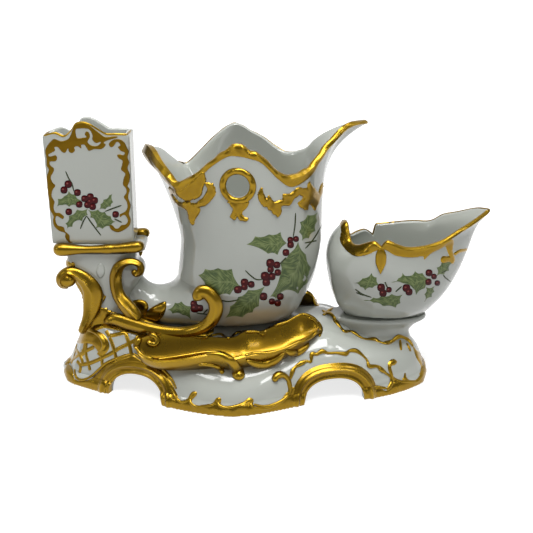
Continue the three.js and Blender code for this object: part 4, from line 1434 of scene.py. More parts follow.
LATTICE_LINES = [
    [(76.8, 344.1), (74.5, 355), (71.4, 363.2)],
    [(86.4, 343.2), (85.9, 353.2), (88.6, 364.1), (90, 370.5)],
    [(97.7, 352.3), (101.4, 356.8), (102.3, 365.9)],
    [(109.5, 336.8), (113.2, 346.8), (115.5, 355.9), (116.4, 361.4)],
    [(124.1, 329.5), (127.7, 339.5), (130.5, 349.5), (131.8, 358.6)],
    [(68.6, 363.2), (75.9, 356.8), (85, 351.4), (94.1, 346.8)],
    [(78.6, 365), (89.5, 363.2), (100.5, 358.6), (111.4, 353.2), (118.6, 348.6), (129.5, 343.2),
        (140.5, 336.8), (142.3, 332.3)],
    [(109.5, 335.9), (118.6, 334.1), (124.1, 332.7), (136.8, 330.9)],
    [(105.9, 330.5), (109.5, 336.4)],
    [(116.8, 359.1), (125.9, 356.4), (133.2, 354.1)],
    [(76.8, 361), (80.5, 366), (79.5, 373)],
    [(66.5, 350), (68.5, 357), (67, 365)],
    [(84.5, 329), (79.5, 335.5), (75, 343), (71.5, 350.5), (69.5, 358), (66, 364.5)],
    [(73.5, 347), (78, 352.5), (81.5, 359), (83.5, 366.5)],
]
NECK_LINE = [
    (323.3, 315.6), (327.8, 312.8), (333.3, 316.1), (335.6, 321.7), (341.1, 328.3), (344.4, 331.7),
        (350, 331.1),
    (354.4, 333.3), (361.1, 337.8), (366.7, 339.4), (374.4, 339.4), (381.1, 342.8), (386.7, 343.3),
    (392.2, 341.1), (397.8, 336.7), (403.3, 337.2), (409, 341), (413, 347),
]
DRIP_LINES = [[(400, 339.4), (400.4, 345), (401.1, 350.6)], [(406.7, 342.8), (408.6, 347), (410.6, 351.7)]]
ARCH_WAVE_LINE = [
    (290, 379.4), (292.2, 371.7), (295.6, 366.7), (301.1, 363.3), (306.7, 361.1), (311.1, 361.7),
        (311.7, 353.9),
    (316.7, 354.4), (322.2, 351.1), (327.8, 353.3), (336.7, 352.8), (345.6, 353.9), (348.9, 351.1),
    (355.6, 350.6), (362.2, 355), (367.2, 360.6), (368.9, 366.1), (376.7, 366.1), (381.1, 369.4),
    (385.6, 372.8), (390.6, 377.2), (391.1, 383.9), (386.7, 390),
]
C_SCROLL_LINE = [
    (275.5, 382), (275.2, 377.6), (279.5, 374.6), (285, 376), (288.8, 381), (290, 388), (288, 394.5),
        (282.5, 400),
    (272, 404.8), (262, 406.2), (253.5, 404),
]
FOOT_RIDGE_LINES = [
    [(172, 390), (175.5, 397), (181.3, 402), (188.3, 400.2), (191.5, 394.5), (194.5, 393), (195.3, 395)],
    [(191, 396), (190.3, 402), (196, 406.8), (205, 406.3), (213.5, 404.6), (216.5, 400.2), (219, 399),
        (219.6, 401)],
    [(217.5, 401), (219.5, 405.5), (226, 407.8), (236, 406.3), (244.5, 403.2), (249.5, 400), (251.8, 401)],
    [(250.5, 402), (252.5, 407), (260.7, 408.5), (271.3, 407), (281.5, 402), (287.3, 395), (289.5, 389),
        (287, 382)],
    [(74.5, 369), (76.2, 377), (82, 379.8), (90.4, 377), (99.5, 369), (106, 363.2), (113.5, 359.6),
        (127, 354.2)],
    [(133.2, 353.2), (143, 358.8), (156, 364.8), (165.5, 371.8), (172.5, 380.5), (176.5, 389)],
    [(365, 394), (373, 387.2), (382.4, 387.6), (386.6, 388.4)],
    [(392.8, 383), (391.8, 375), (389.8, 368.3), (390.6, 363), (393.6, 361), (395.3, 362.2)],
    [(392, 378), (402.8, 381.8), (409, 381.4), (416, 382), (421, 377), (425.5, 371)],
]


def faces_out(points, normals):
    """Corners of a hollow piece that belong to its outside"""
    away = points - points.mean(axis=0)
    away[:, 2] = np.maximum(away[:, 2], 0)
    return np.einsum("ij,ij->i", away * np.array((0.2, 1, 1)), normals) > -0.002


@cache
def arch_frames():
    return [arch_frame(share) for share in ARCH_SHARES.values()]


def in_arch(spot):
    """Whether a place on the base's wall lies in an arch's opening"""
    base = settings("base")
    power = 2 / ARCH_POWER
    for foot, outward, along in arch_frames():
        aside = abs((spot - foot).dot(along)) / (base.arch_width / 2 + MM)
        raised = spot.z / (base.arch_height + MM)
        if aside**power + raised**power < 1:
            return True
    return False


class DESKSET_OT_base(bpy.types.Operator):
    """Builds the footed base with its arches and its gilt feet"""

    bl_idname = "deskset.base"
    bl_label = "Base"

    def execute(self, context):
        piece = to_object(base_mesh(), "base")
        cut(piece, [arch_cutter(share, rear) for share in ARCH_SHARES.values() for rear in (False, True)])
        gilded("base_relief_gilt", base_mesh, BASE_GOLD, [], 0.6 * MM, away=in_arch)
        gild(piece, BASE_GOLD, [], THIN_GOLD, faces_out)
        finish_piece(piece, "glazed_porcelain", "porcelain", "plinth")
        return {"FINISHED"}


# The moulding's height from the arch's edge outwards: a rolled edge, a hollow, a ridge and a slope
MOULDING_RISE_SHARES = [[0.2], [0.42], [0.3], [0.22], [0.3], [0.5], [1], [0.86], [0.6], [0.5], [0.3], [0.05]]


class DESKSET_OT_base_mouldings(bpy.types.Operator):
    """Builds the ridged gilt mouldings round the arches"""

    bl_idname = "deskset.base_mouldings"
    bl_label = "Arch mouldings"

    def execute(self, context):
        base = settings("base")
        carrier = carrier_of([base_mesh])

        def rise(place, across):
            return base.moulding_raise * smooth_row(MOULDING_RISE_SHARES, across)[0]

        for name, share in ARCH_SHARES.items():
            foot, outward, along = arch_frame(share)

            @cache
            def surface(place, across):
                x, z = arch_spot(math.pi * (1 - place), base.moulding_width * (across * 1.04 - 0.04))
                origin = foot + outward * 0.1 + along * x
                origin.z = max(z, 0.6 * MM)
                return carrier.along(origin, -outward)

            def make(end):
                bm = bmesh.new()
                pad(bm, surface, 110, 56, rise, sink=0.6 * MM, power=60)
                close(bm)
                return bm

            gold_pair(f"arch_moulding_{name}", make)
        return {"FINISHED"}


class DESKSET_OT_base_lines(bpy.types.Operator):
    """Builds the raised gilt lines and scrolls on the base"""

    bl_idname = "deskset.base_lines"
    bl_label = "Base lines"

    def execute(self, context):
        def lumpy(bm, carrier, route, widths, flatten):
            """A line whose width goes through widths again and again"""
            repeated = [widths[i % len(widths)] for i in range(len(route))]
            cordon(bm, carrier, route, repeated, flatten=flatten)

        def make(bm, carrier):
            for route in LATTICE_LINES:
                widths = [LATTICE_WIDTH] * len(route)
                cordon(bm, carrier, route, widths, lift=0.0, flatten=0.4, passes=2, power=30)
            lumpy(bm, carrier, NECK_LINE, [3.2, 5.2, 3.4, 5.6, 3.4, 4.6, 3, 5, 3.2], 0.55)
            lumpy(bm, carrier, ARCH_WAVE_LINE, [2.6, 4.4, 3, 4.8, 2.8], 0.6)
            cordon(bm, carrier, C_SCROLL_LINE, [6.4, 7.4, 7.6, 5.4, 4.4, 4, 3.4, 3, 2.6, 2.4, 2], ridge=0.5)
            for route in DRIP_LINES:
                cordon(bm, carrier, route, [2.2, 3.4, 2.4], flatten=0.5)
            cordon(bm, carrier, SHELL_RIDGE_LINE, [2, 3.4, 4.6, 5.4, 4.8, 2.4], ridge=0.5)
            for route in FOOT_RIDGE_LINES:
                cordon(bm, carrier, route, [1.6, *[2.8] * (len(route) - 2), 1.6])

        painted("base_lines", make, [base_mesh, neck_mesh])
        return {"FINISHED"}


# The vase


def horn_point(row, around, grow):
    """A point of the horn's section in a row of its fan"""
    vase = settings("vase")
    angle, reach, half_depth = row
    turn = math.radians(angle)
    inner = vase.inner_radius - grow
    outer = reach * vase.half_length + grow
    out = (inner + outer) / 2 + (outer - inner) / 2 * math.cos(around)
    y = -(half_depth * vase.half_depth + grow) * math.sin(around)
    return Vector((vase.pivot + out * math.cos(turn), y, vase.pivot_height + out * math.sin(turn)))


def flare_point(level, around, rim, grow):
    """A point of the flaring upper part, level 0 at the shoulder and 1 at the rim"""
    vase = settings("vase")
    _, rim_radius, rim_height, power = rim
    c, s = math.cos(around), math.sin(around)
    body = vase.half_length * vase.half_depth / math.hypot(vase.half_depth * c, vase.half_length * s)
    radius = body + (rim_radius * vase.half_length - body) * level**power + grow
    z = vase.shoulder_height + level * rim_height * vase.rim_height
    return Vector((vase.middle + radius * c, -radius * s, z))


VASE_COLUMNS = 320
HORN_ROWS = 72
HORN_LEAD_ROWS = 14
FLARE_ROWS = 84
VASE_RIM_ROW = HORN_ROWS + FLARE_ROWS
VASE_INSIDE_ROWS = 24
VASE_FLOOR_ROWS = 12


def vase_profile(share):
    """The vase's points from the tip of its tail up to the rim and down again inside"""
    vase = settings("vase")
    around = 2 * math.pi * share
    rim = rim_at(VASE_RIM_SHARES, share)
    horn = [horn_point(row, around, 0) for row in HORN_SHARES]
    lead = [flare_point(level, around, rim, 0) for level in (0, 0.12, 0.24)]
    rows = HORN_ROWS + HORN_LEAD_ROWS
    body = dense(horn + lead, rows)
    body = [p for i, p in enumerate(body) if i * (len(horn) + 2) / rows <= len(horn)][: HORN_ROWS + 1]
    left = FLARE_ROWS + HORN_ROWS - len(body)
    flare = [flare_point(0.02 + 0.98 * step / left, around, rim, 0) for step in range(left + 1)]
    edge = [
        flare_point(1, around, rim, -vase.wall * inset) + Vector((0, 0, vase.wall * lift))
        for inset, lift in EDGE_SHARES
    ]
    levels = [1 - step / VASE_INSIDE_ROWS for step in range(VASE_INSIDE_ROWS + 1)]
    inside = [flare_point(level, around, rim, -vase.wall) for level in levels]
    floor = [horn_point(row, around, -vase.wall) for row in reversed(HORN_SHARES[HORN_FLOOR_ROW:])]
    return body + flare + edge + inside + dense(floor, VASE_FLOOR_ROWS)


def vase_mesh():
    return closed_skin(VASE_COLUMNS, vase_profile)


VASE_SHELL_GOLD = [
    (160, 184), (170, 186), (178, 190), (186, 186), (193.8, 178), (203.1, 172), (206.2, 179.7),
        (203.1, 187.4),
    (201.5, 195.1), (193.8, 199.7), (186.2, 200.5), (178.5, 196.6), (170.8, 193.5), (160, 190),
]
VASE_SWIRL_GOLD = [
    (203.5, 181), (208, 183), (213.8, 184.3), (215.4, 192), (212.3, 199.7), (204.6, 205.8), (196.9, 207.4),
    (188, 206), (186, 203), (192, 203.5), (198, 201), (203, 196.5), (207.5, 190), (206, 186),
]
VASE_DROP_GOLD = [
    (182, 203), (186.2, 210), (189, 219), (192.3, 225.8), (196.5, 218), (200, 211), (198.5, 206),
    (190, 202),
]
VASE_WING_LINE = [(168, 189), (171.5, 195), (178, 203), (186.2, 207.4)]
VASE_BOW_GOLD = [
    (229, 201), (248, 201), (246.5, 208), (243, 212), (243, 215), (246.5, 217), (247.7, 219.5), (244, 221.6),
    (238.5, 219.6), (236.8, 214), (236, 219), (232.5, 220), (230.6, 217), (232.5, 210), (230.5, 206),
]
VASE_SWAG_GOLD = [
    (261.5, 187.4), (257.7, 195.1), (261.5, 204.3), (270.8, 210.5), (276.9, 217.4), (281.5, 212),
        (281.5, 205.8),
    (289.2, 205.8), (295.4, 198.2), (300, 195.1), (303, 198), (297.5, 203.5), (302, 208.5), (307.7, 209.7),
    (309.5, 204), (315.4, 211.2), (319.2, 201.2), (324.6, 187.4), (329, 176), (321, 184), (318.5, 193),
    (315.4, 188.5), (309.2, 182), (306.9, 188.9), (298.5, 187.4), (290.8, 193.5), (283.1, 193.5),
    (281.5, 199.7), (273.8, 201.2), (269, 195), (266.2, 198.2), (263.1, 193),
]
VASE_GOLD = [VASE_SHELL_GOLD, VASE_SWIRL_GOLD, VASE_DROP_GOLD, VASE_BOW_GOLD, VASE_SWAG_GOLD]
# A warm tint low on the vase, just above the trays
VASE_WARM_TINT = [
    (212, 330), (222, 314), (240, 305), (265, 304), (290, 303), (306, 300), (322, 285), (322, 335),
    (212, 335),
]

VASE_LEAVES = [
    ((286.9, 243.1), [(280.6, 231.9), (268.8, 234.4), (255, 236.3)], (246.3, 244.4), [(277.5, 255),
        (268.1, 253.8)]),
    ((302, 241), [(299, 232), (299.8, 222), (307.5, 215)], (318.1, 211.9), [(309, 238.5), (315.5, 231),
        (317.5, 221)]),
    ((298.1, 241.3), [(288.8, 253.8), (280, 262.5), (280, 275)], (270, 297), [(306.3, 255), (311.3, 267.5),
        (308.8, 282.5), (298.8, 295), (286.3, 290), (276.3, 298.8)]),
    ((240, 286.3), [(231.9, 268.8), (218, 268), (205, 268.8)], (198.1, 275), [(230, 295), (220, 295.6),
        (207, 290)]),
    ((265, 286.3), [(248, 290), (238, 297), (230, 306.3)], (225, 318.1), [(258.8, 306.3), (252.5, 312.5),
        (242.5, 317.5)]),
    ((191.3, 306.3), [(181.3, 301.3), (175, 302.5)], (166.9, 310), [(191.9, 321.3), (182.5, 315),
        (172.5, 313.8)]),
]
VASE_STEMS = [
    [(295.6, 212.5), (295, 225), (293.1, 237.5)],
    [(322.5, 223.8), (313.8, 238.8), (305, 248.8)],
    [(304.4, 243.1), (316.9, 240.6)],
    [(286.3, 257.5), (280, 263.8)],
    [(245, 270), (250, 275), (256.3, 279.4), (262.5, 279.4)],
    [(220, 300), (228.8, 301.5), (240, 299.4)],
    [(196.3, 313.1), (207.5, 314.4)],
    [(202.5, 314.4), (208.1, 308.8)],
]
VASE_BERRIES = [
    (290.3, 239.8, 2.6), (296, 239, 2.6), (290.6, 244.8, 3), (285.9, 252.5, 3.1), (270.4, 263.1, 3.8),
    (276.9, 265, 3.1), (270.6, 269.4, 3), (277.8, 272.5, 3), (265, 276, 3.8), (271.9, 276.5, 3.3),
    (266.3, 282.3, 3.5), (244.6, 282.5, 3.5), (251.3, 284.4, 3), (244.4, 286.9, 3), (237.9, 289.4, 3.6),
    (263.5, 296.5, 3.5), (280.3, 296.5, 3.1), (271.9, 301.5, 2.8), (277.8, 303.1, 3), (193.8, 303.8, 3),
    (195, 308.1, 4), (200, 308.1, 3),
]


REAR_BAND_SHARE = 0.62
BAND_SIDES = 22
# Rows of a wall that its band can reach, below the rim and over its edge
BAND_ROWS = 40
EDGE_ROWS = len(EDGE_SHARES) + 1
PLURALS = {"leaf": "leaves", "stem": "stems", "berry": "berries"}


def rim_band(profile, rim_row, width_at, inside, rise, columns, wall):
    """A gilt band over a rim, from its inner edge down the outside by width_at(share). Behind it begins
    nearer the rim's outer edge."""

    @cache
    def lengths(share):
        points = profile(share)
        outside = [points[i] for i in range(rim_row, rim_row - BAND_ROWS, -1)]
        within = [points[i] for i in range(rim_row + EDGE_ROWS, rim_row, -1)]
        return within + outside

    def at_distance(share, distance):
        points = lengths(share)
        left = distance
        for a, b in zip(points, points[1:]):
            step = (b - a).length
            if left <= step:
                return a.lerp(b, max(left, 0) / step if step else 0)
            left -= step
        return points[-1]

    def section(share):
        share = share % 1
        reach = inside + width_at(share)
        start = REAR_BAND_SHARE * wall if share > 0.5 else 0
        made = []
        for turn in turns(BAND_SIDES):
            across = 0.5 - 0.5 * math.cos(turn)
            distance = start + across * (reach - start)
            spot = at_distance(share, distance)
            nearby = at_distance(share, distance + 0.1 * MM)
            beside = at_distance((share + 0.002) % 1, distance)
            normal = (beside - spot).cross(nearby - spot)
            normal.normalize()
            swell = math.sin(turn)
            height = rise(share, across) * swell if swell > 0 else 0.5 * MM * swell
            made.append(spot + normal * height)
        return made

    return closed_skin(columns, section)


class DESKSET_OT_vase(bpy.types.Operator):
    """Builds the pierced horn-shaped vase with its raised gold"""

    bl_idname = "deskset.vase"
    bl_label = "Vase"

    def execute(self, context):
        vase = settings("vase")
        piece = to_object(vase_mesh(), "horn_vase")
        place = Matrix.Translation((vase.pierce, 0, vase.pierce_height))
        bm = bmesh.new()
        bmesh.ops.create_cone(
            bm,
            cap_ends=True,
            segments=72,
            radius1=vase.pierce_radius,
            radius2=vase.pierce_radius,
            depth=4 * vase.half_depth,
            matrix=place @ Matrix.Rotation(math.pi / 2, 4, "X"),
        )
        cut(piece, [to_object(bm, "hole_cutter")])
        wing = [(4, VASE_WING_LINE)]
        gilded("vase_relief_gilt", vase_mesh, VASE_GOLD, wing, 0.9 * MM, feather=1.1, spacing=0.6)
        gild(piece, [VASE_WARM_TINT], [], 0, outer_wall, attribute="warm_depth")
        soften(piece, "warm_depth", "warm_tint", 9)
        finish_piece(piece, "glazed_porcelain", "porcelain", "vase")
        return {"FINISHED"}


def outer_wall(points, normals):
    """Corners of a vessel's outer wall at the front and the rear"""
    return points[:, 1] * normals[:, 1] > 0


def soften(piece, source, target, reach):
    """Turns a depth in pixels into a soft mask from 0 to 1 over reach pixels"""
    mesh = piece.data
    depth = np.zeros(len(mesh.vertices), np.float32)
    mesh.attributes[source].data.foreach_get("value", depth)
    mask = np.clip(depth / reach, 0, 1)
    mesh.attributes.remove(mesh.attributes[source])
    mesh.attributes.new(target, "FLOAT", "POINT").data.foreach_set("value", mask)


class DESKSET_OT_vase_gilding(bpy.types.Operator):
    """Builds the gilt rim of the vase and the rings round its holes"""

    bl_idname = "deskset.vase_gilding"
    bl_label = "Vase gilding"

    def execute(self, context):
        vase = settings("vase")
        carrier = carrier_of([vase_mesh])

        def width_at(share):
            return smooth_at(VASE_BAND_SHARES, fold_degrees(share))[1] * vase.wall

        def rise(share, across):
            """Rope-like lumps, lower behind, and a thicker arm at the left"""
            lumpy = smooth_at(VASE_BAND_SHARES, fold_degrees(share))[2]
            lumps = 0.5 + 0.5 * math.sin(2 * math.pi * (17 * min(share, 1 - share) * 2 + 0.9 * across))
            behind = 0.3 if share > 0.5 and across < 0.5 else 1
            arm = min(max((fold_degrees(share) - 144) / 22, 0), 1) if share < 0.5 else 0
            slope = 1.25 - min(across * 1.5, 0.75) * (1 - arm)
            return (1.4 - 0.7 * lumpy * (1 - lumps)) * MM * slope * behind * (1 + 0.6 * arm)

        band = rim_band(cache(vase_profile), VASE_RIM_ROW, width_at, 0.9 * MM, rise, 640, vase.wall)
        gold_piece(band, "vase_rim_gilt")

        def surface(place, across):
            turn = 2 * math.pi * place
            radius = vase.pierce_radius - 0.3 * MM + (vase.ring_width + 0.3 * MM) * across
            x = vase.pierce + radius * math.cos(turn)
            origin = Vector((x, -0.2, vase.pierce_height + radius * math.sin(turn)))
            return carrier.along(origin, Vector((0, 1, 0)))

        def section(place):
            lumps = 0.88 + 0.12 * math.sin(2 * math.pi * 9 * place)
            made = []
            for turn in turns(16):
                spot, normal = surface(place, 0.5 - 0.5 * math.cos(turn))
                swell = math.sin(turn)
                height = vase.ring_raise * lumps if swell > 0 else 0.6 * MM
                made.append(spot + normal * (height * swell))
            return made

        gold_pair("vase_ring", lambda end: closed_skin(96, section))
        return {"FINISHED"}


def holly(prefix, mesh, leaves, stems, berries):
    """The painted holly of one carrier: leaves, stems and berries, front and rear"""
    for kind, draw, rows in (("leaf", leaf, leaves), ("stem", stem, stems), ("berry", berry, berries)):

        def make(bm, carrier):
            for row in rows:
                draw(bm, carrier, *row)

        painted(f"{prefix}_holly_{PLURALS[kind]}", make, [mesh], f"painted_{kind}", "porcelain")


class DESKSET_OT_vase_holly(bpy.types.Operator):
    """Paints the holly on the vase"""

    bl_idname = "deskset.vase_holly"
    bl_label = "Vase holly"

    def execute(self, context):
        holly("vase", vase_mesh, VASE_LEAVES, VASE_STEMS, VASE_BERRIES)
        return {"FINISHED"}


# The pen trays

TRAY_ROWS = 132
TROUGH_SHARE = 1.45


def tray_section(place):
    """The tray's points across one section: the trough from back to front, then the underside"""
    tray = settings("tray")
    along, middle, width, back, front, depth = smooth_row(TRAY_SHARES, place)
    x = tray.left + along * tray.length
    centre = -middle * settings("base").half_depth
    half = width * tray.width / 2
    deep = depth * tray.depth
    inner, outer = [], []
    steps = 20
    for i in range(steps + 1):
        t = i / steps
        side = 1 - 2 * t
        rim = (back + (front - back) * t) * tray.height
        belly = math.sin(math.pi * t) ** 0.7 if 0 < t < 1 else 0
        inner.append(Vector((x, centre + half * side, rim - deep * TROUGH_SHARE * belly)))
        under = rim - tray.wall / 2 - deep * 2 * belly
        outer.append(Vector((x, centre + (half + tray.wall) * side, under)))
    raised = Vector((0, 0, tray.wall * 0.25))
    middle_back = (inner[0] + outer[0]) / 2 + raised
    middle_front = (inner[-1] + outer[-1]) / 2 + raised
    return [*inner, middle_front, *reversed(outer), middle_back, inner[0]]


def tray_mesh():
    return closed_skin(TRAY_ROWS, tray_section)


TRAY_SCROLL_LINE = [
    (206, 353.8), (214, 354), (221, 355.2), (227.5, 358.2), (232.5, 362.6), (236, 367.6), (238, 372.4),
        (238.8, 376.4),
    (239, 380.6),
]
TRAY_TAIL_LINE = [(198, 364.6), (208, 364.6), (215.5, 366), (220.5, 369), (223, 374)]
TRAY_VOLUTE_LINE = [
    (136.5, 349), (138, 342), (142.5, 336.5), (149, 334.4), (155, 336.5), (157.8, 341), (154.5, 344.4),
        (150, 343),
    (149.6, 339.6),
]
TRAY_LIP_LINE = [
    (160.7, 334.7), (154, 330.7), (144.7, 331.3), (138, 336), (134.7, 344), (136.7, 349.3), (143.3, 356),
    (156.7, 359.3), (174, 357.3), (190, 354.7), (206, 352.4), (217, 352.4), (226, 354.4),
]
TRAY_RIGHT_LIP_LINE = [
    (244.7, 355.5), (255.3, 353), (268.7, 353), (283.3, 349), (296.7, 343), (308.7, 339), (316.7, 332),
    (317.5, 325), (314, 320), (308, 318),
]
TRAY_BACK_LINE = [
    (188.7, 334.7), (196, 337), (204.7, 337.5), (212.7, 335.3), (220.7, 334), (228.7, 338.7), (236.7, 332.7),
    (247.3, 332), (258, 332), (263.3, 335.3), (267.3, 328.7), (276.7, 325.3), (287.3, 322), (296.7, 316.5),
    (303.3, 314), (312.7, 317), (319.3, 324), (321.5, 330.7), (319, 337),
]
TRAY_LOBES = [
    [(246, 360), (256, 363), (267, 362.5), (277, 358.5), (284, 352.5)],
    [(285, 350.5), (291, 352.5), (298.5, 351.5), (306, 346.5), (309, 343)],
]


class DESKSET_OT_trays(bpy.types.Operator):
    """Builds the two gilt pen trays"""

    bl_idname = "deskset.trays"
    bl_label = "Pen trays"

    def execute(self, context):
        gold_pair("pen_tray", lambda end: tray_mesh())

        def make(bm, carrier):
            lip = [3, 3.6, 3.6, 3.4, 3.4, 3.4, 3.4, 3.4, 3.4, 3.6, 4, 4]
            cordon(bm, carrier, TRAY_LIP_LINE, lip, lift=0.4, passes=12)
            cordon(bm, carrier, TRAY_RIGHT_LIP_LINE, [3] * len(TRAY_RIGHT_LIP_LINE), lift=0.1)
            cordon(bm, carrier, TRAY_BACK_LINE, [3, 2.6, 3.6, 3, 2.6] * 4, lift=0.1)
            scroll = [3, 4.8, 6.8, 8.4, 9.4, 10.6, 12, 12.6, 12.6]
            cordon(bm, carrier, TRAY_SCROLL_LINE, scroll, lift=0.2, flatten=0.6, ridge=0.4)
            cordon(bm, carrier, TRAY_TAIL_LINE, [3, 4.6, 5.4, 5.4, 4.4], lift=0.1)
            cordon(bm, carrier, TRAY_LOBES[0], [6, 10, 11, 9, 5], power=3)
            cordon(bm, carrier, TRAY_LOBES[1], [5, 8, 9, 7, 4], power=3)
            cordon(bm, carrier, TRAY_VOLUTE_LINE, [6, 6, 6.4, 6.4, 6, 5.6, 6, 7.4, 7.6], lift=0.1, passes=2)

        painted("pen_tray_mouldings", make, [tray_mesh, base_mesh])
        return {"FINISHED"}


# The bowl

BOWL_COLUMNS = 256
BOWL_ROWS = 84
BOWL_INSIDE_ROWS = 28
NECK_COLUMNS = 160
NECK_ROWS = 42


def bowl_point(row, around, rim, grow, lift):
    """A point of the bowl's wall in a row of its shares"""
    bowl = settings("bowl")
    left, right, depth, side_rise, end_rise = row
    c, s = math.cos(around), math.sin(around)
    reach = right * bowl.spout_reach if c > 0 else left * bowl.half_length
    pointed = 1 + side_rise if c > 0 else 1
    rise = side_rise + (end_rise - side_rise) * c * c
    y = -math.copysign(abs(s) ** pointed, s) * (depth * bowl.half_depth + grow)
    z = bowl.neck_height + SEAT_GAP + rise * rim + lift
    return Vector((bowl.middle + (reach + grow) * c, y, z))


def bowl_profile(share):
    """The bowl's points from its foot up to the rim and down again inside"""
    bowl = settings("bowl")
    around = 2 * math.pi * share
    rim = rim_at(BOWL_RIM_SHARES, share)[1] * bowl.height
    outside = [bowl_point(row, around, rim, 0, 0) for row in BOWL_SHARES]
    edge = [
        bowl_point(BOWL_SHARES[-1], around, rim, -bowl.wall * inset, bowl.wall * lift)
        for inset, lift in EDGE_SHARES
    ]
    inside = [
        bowl_point(row, around, rim, -bowl.wall, bowl.floor * max(0, 1 - row[3] * 2))
        for row in reversed(BOWL_SHARES)
    ]
    return dense(outside, BOWL_ROWS) + edge + dense(inside, BOWL_INSIDE_ROWS)


def bowl_mesh():
    return closed_skin(BOWL_COLUMNS, bowl_profile)


BOWL_RIM_GOLD = [
    (330, 222), (341.8, 225), (339.9, 238.8), (343, 246.3), (350.5, 253.8), (358, 256.3), (368, 254.4),
        (375.5, 251),
    (381, 250), (386, 250), (394.3, 255), (403, 256.9), (413, 257.5), (423, 256.3), (424.3, 259.6),
        (430.5, 253.8),
    (438, 250), (445.5, 246), (453, 240), (440, 238), (425, 243), (408, 245), (392, 240), (385, 238),
        (378, 238),
    (370, 238), (357, 242), (349, 238), (347, 222), (344, 210), (330, 210),
]
BOWL_DROP_LINE = [(381, 248.5), (381, 254), (380.9, 259), (380.7, 265), (380.5, 274.5)]
REAR_DROP_LOWER = 18
BOWL_FLEUR_GOLD = [
    (445, 240), (446.5, 249), (449, 256), (443, 256), (440.5, 260), (443, 263.1), (449.3, 262), (453, 263.8),
    (455, 259), (452.5, 251), (453.5, 240),
]
BOWL_GOLD = [BOWL_RIM_GOLD, BOWL_FLEUR_GOLD]
BOWL_SPOUT_LINE = [(455.5, 253.8), (460, 251), (466.8, 250)]
BOWL_LEAVES = [
    ((380.5, 286), [(376.7, 277.5), (371.7, 273), (362.5, 278.3)], (353, 283), [(372.5, 288), (365, 290.5),
        (360.5, 287)]),
    ((402.8, 294.5), [(391.7, 294), (381.7, 295.8), (373.3, 297.5)], (363.4, 300.5), [(400.5, 303.3),
        (395.8, 308), (383.3, 306.5), (373.3, 302.8)]),
    ((431.7, 279.5), [(422.5, 273), (415, 271), (408.3, 276), (402.5, 272.8), (398.3, 278.3)],
        (391.2, 282.4), [(425, 288.3), (415.8, 295.5), (413, 288.5), (403.3, 283.5)]),
    ((434.6, 286), [(426, 287), (424.4, 294.2)], (424, 302.2), [(434.5, 291.7), (432, 297)]),
    ((436.4, 276.4), [(436.6, 267.5), (441.5, 262.8)], (452.8, 257), [(444, 275), (449, 270.8),
        (452, 263.3)]),
]
BOWL_STEMS = [
    [(354.9, 288.8), (362, 294), (371.8, 297.5)],
    [(356, 292.5), (364, 295.5)],
    [(395.5, 291.9), (401.8, 286.3)],
    [(443, 275), (447, 279), (451.1, 281.9)],
    [(384.9, 281.9), (387.4, 287.5)],
    [(441, 273), (447, 270)],
]
BOWL_BERRIES = [
    (381.1, 287.5, 3.5), (383, 293.1, 3.3), (389, 289.8, 2.5), (406.4, 288.1, 3.5), (409, 291.9, 3.2),
    (429, 272.8, 3.1), (434, 276.5, 2.5), (428.3, 281.9, 3), (437.4, 283.1, 2.5),
]


def neck_profile(share):
    """The neck's points from the middle of its top down its wall"""
    bowl = settings("bowl")
    around = 2 * math.pi * share

    def ring(drop, left, right, depth):
        c = math.cos(around)
        reach = (right if c > 0 else left) * bowl.neck_half_length
        spot = Vector((reach * c, -depth * bowl.neck_half_depth * math.sin(around), -drop * bowl.neck_drop))
        return spot + Vector((bowl.neck, 0, bowl.neck_height))

    top = [ring(0, inner, inner, inner) for inner in (0, 0.5, 0.9)]
    return top + dense([ring(*row) for row in NECK_SHARES], NECK_ROWS)


def neck_mesh():
    return closed_skin(NECK_COLUMNS, neck_profile)


class DESKSET_OT_bowl(bpy.types.Operator):
    """Builds the boat-shaped bowl, its neck and their gold"""

    bl_idname = "deskset.bowl"
    bl_label = "Bowl and neck"

    def execute(self, context):
        bowl = settings("bowl")
        finish_piece(to_object(neck_mesh(), "bowl_neck"), "glazed_porcelain", "porcelain", "neck")
        piece = to_object(bowl_mesh(), "boat_bowl")
        gilded("bowl_relief_gilt", bowl_mesh, BOWL_GOLD, [(3, BOWL_SPOUT_LINE)], 0.5 * MM)
        gild(piece, BOWL_GOLD, [(2.4, BOWL_SPOUT_LINE)], THIN_GOLD, outer_wall)
        finish_piece(piece, "glazed_porcelain", "porcelain", "bowl")

        def width_at(share):
            return smooth_at(BOWL_BAND_SHARES, fold_degrees(share))[1] * bowl.wall

        def rise(share, across):
            return (1.35 - min(across * 1.6, 0.8)) * 0.95 * MM

        band = rim_band(cache(bowl_profile), BOWL_ROWS, width_at, 0.8 * MM, rise, 400, bowl.wall)
        gold_piece(band, "bowl_rim_gilt")

        def drop(end):
            carrier = carrier_of([bowl_mesh], rear=end == "rear")
            lower = REAR_DROP_LOWER if end == "rear" else 0
            route = [(x, y + lower) for x, y in BOWL_DROP_LINE]
            track = route_track(carrier, route, [7.5, 10.4, 11.2, 9.6, 1])
            bm = bmesh.new()
            pad(bm, track, 20, 16, lambda along, across: bowl.drop_raise, sink=0.35 * MM, power=5)
            close(bm)
            return bm

        gold_pair("bowl_drop", drop)
        return {"FINISHED"}


class DESKSET_OT_bowl_holly(bpy.types.Operator):
    """Paints the holly on the bowl"""

    bl_idname = "deskset.bowl_holly"
    bl_label = "Bowl holly"

    def execute(self, context):
        holly("bowl", bowl_mesh, BOWL_LEAVES, BOWL_STEMS, BOWL_BERRIES)
        return {"FINISHED"}


# The box, the ledge and the block

BOX_COLUMNS = 288
BLOCK_COLUMNS = 224
BLOCK_ROWS = 96


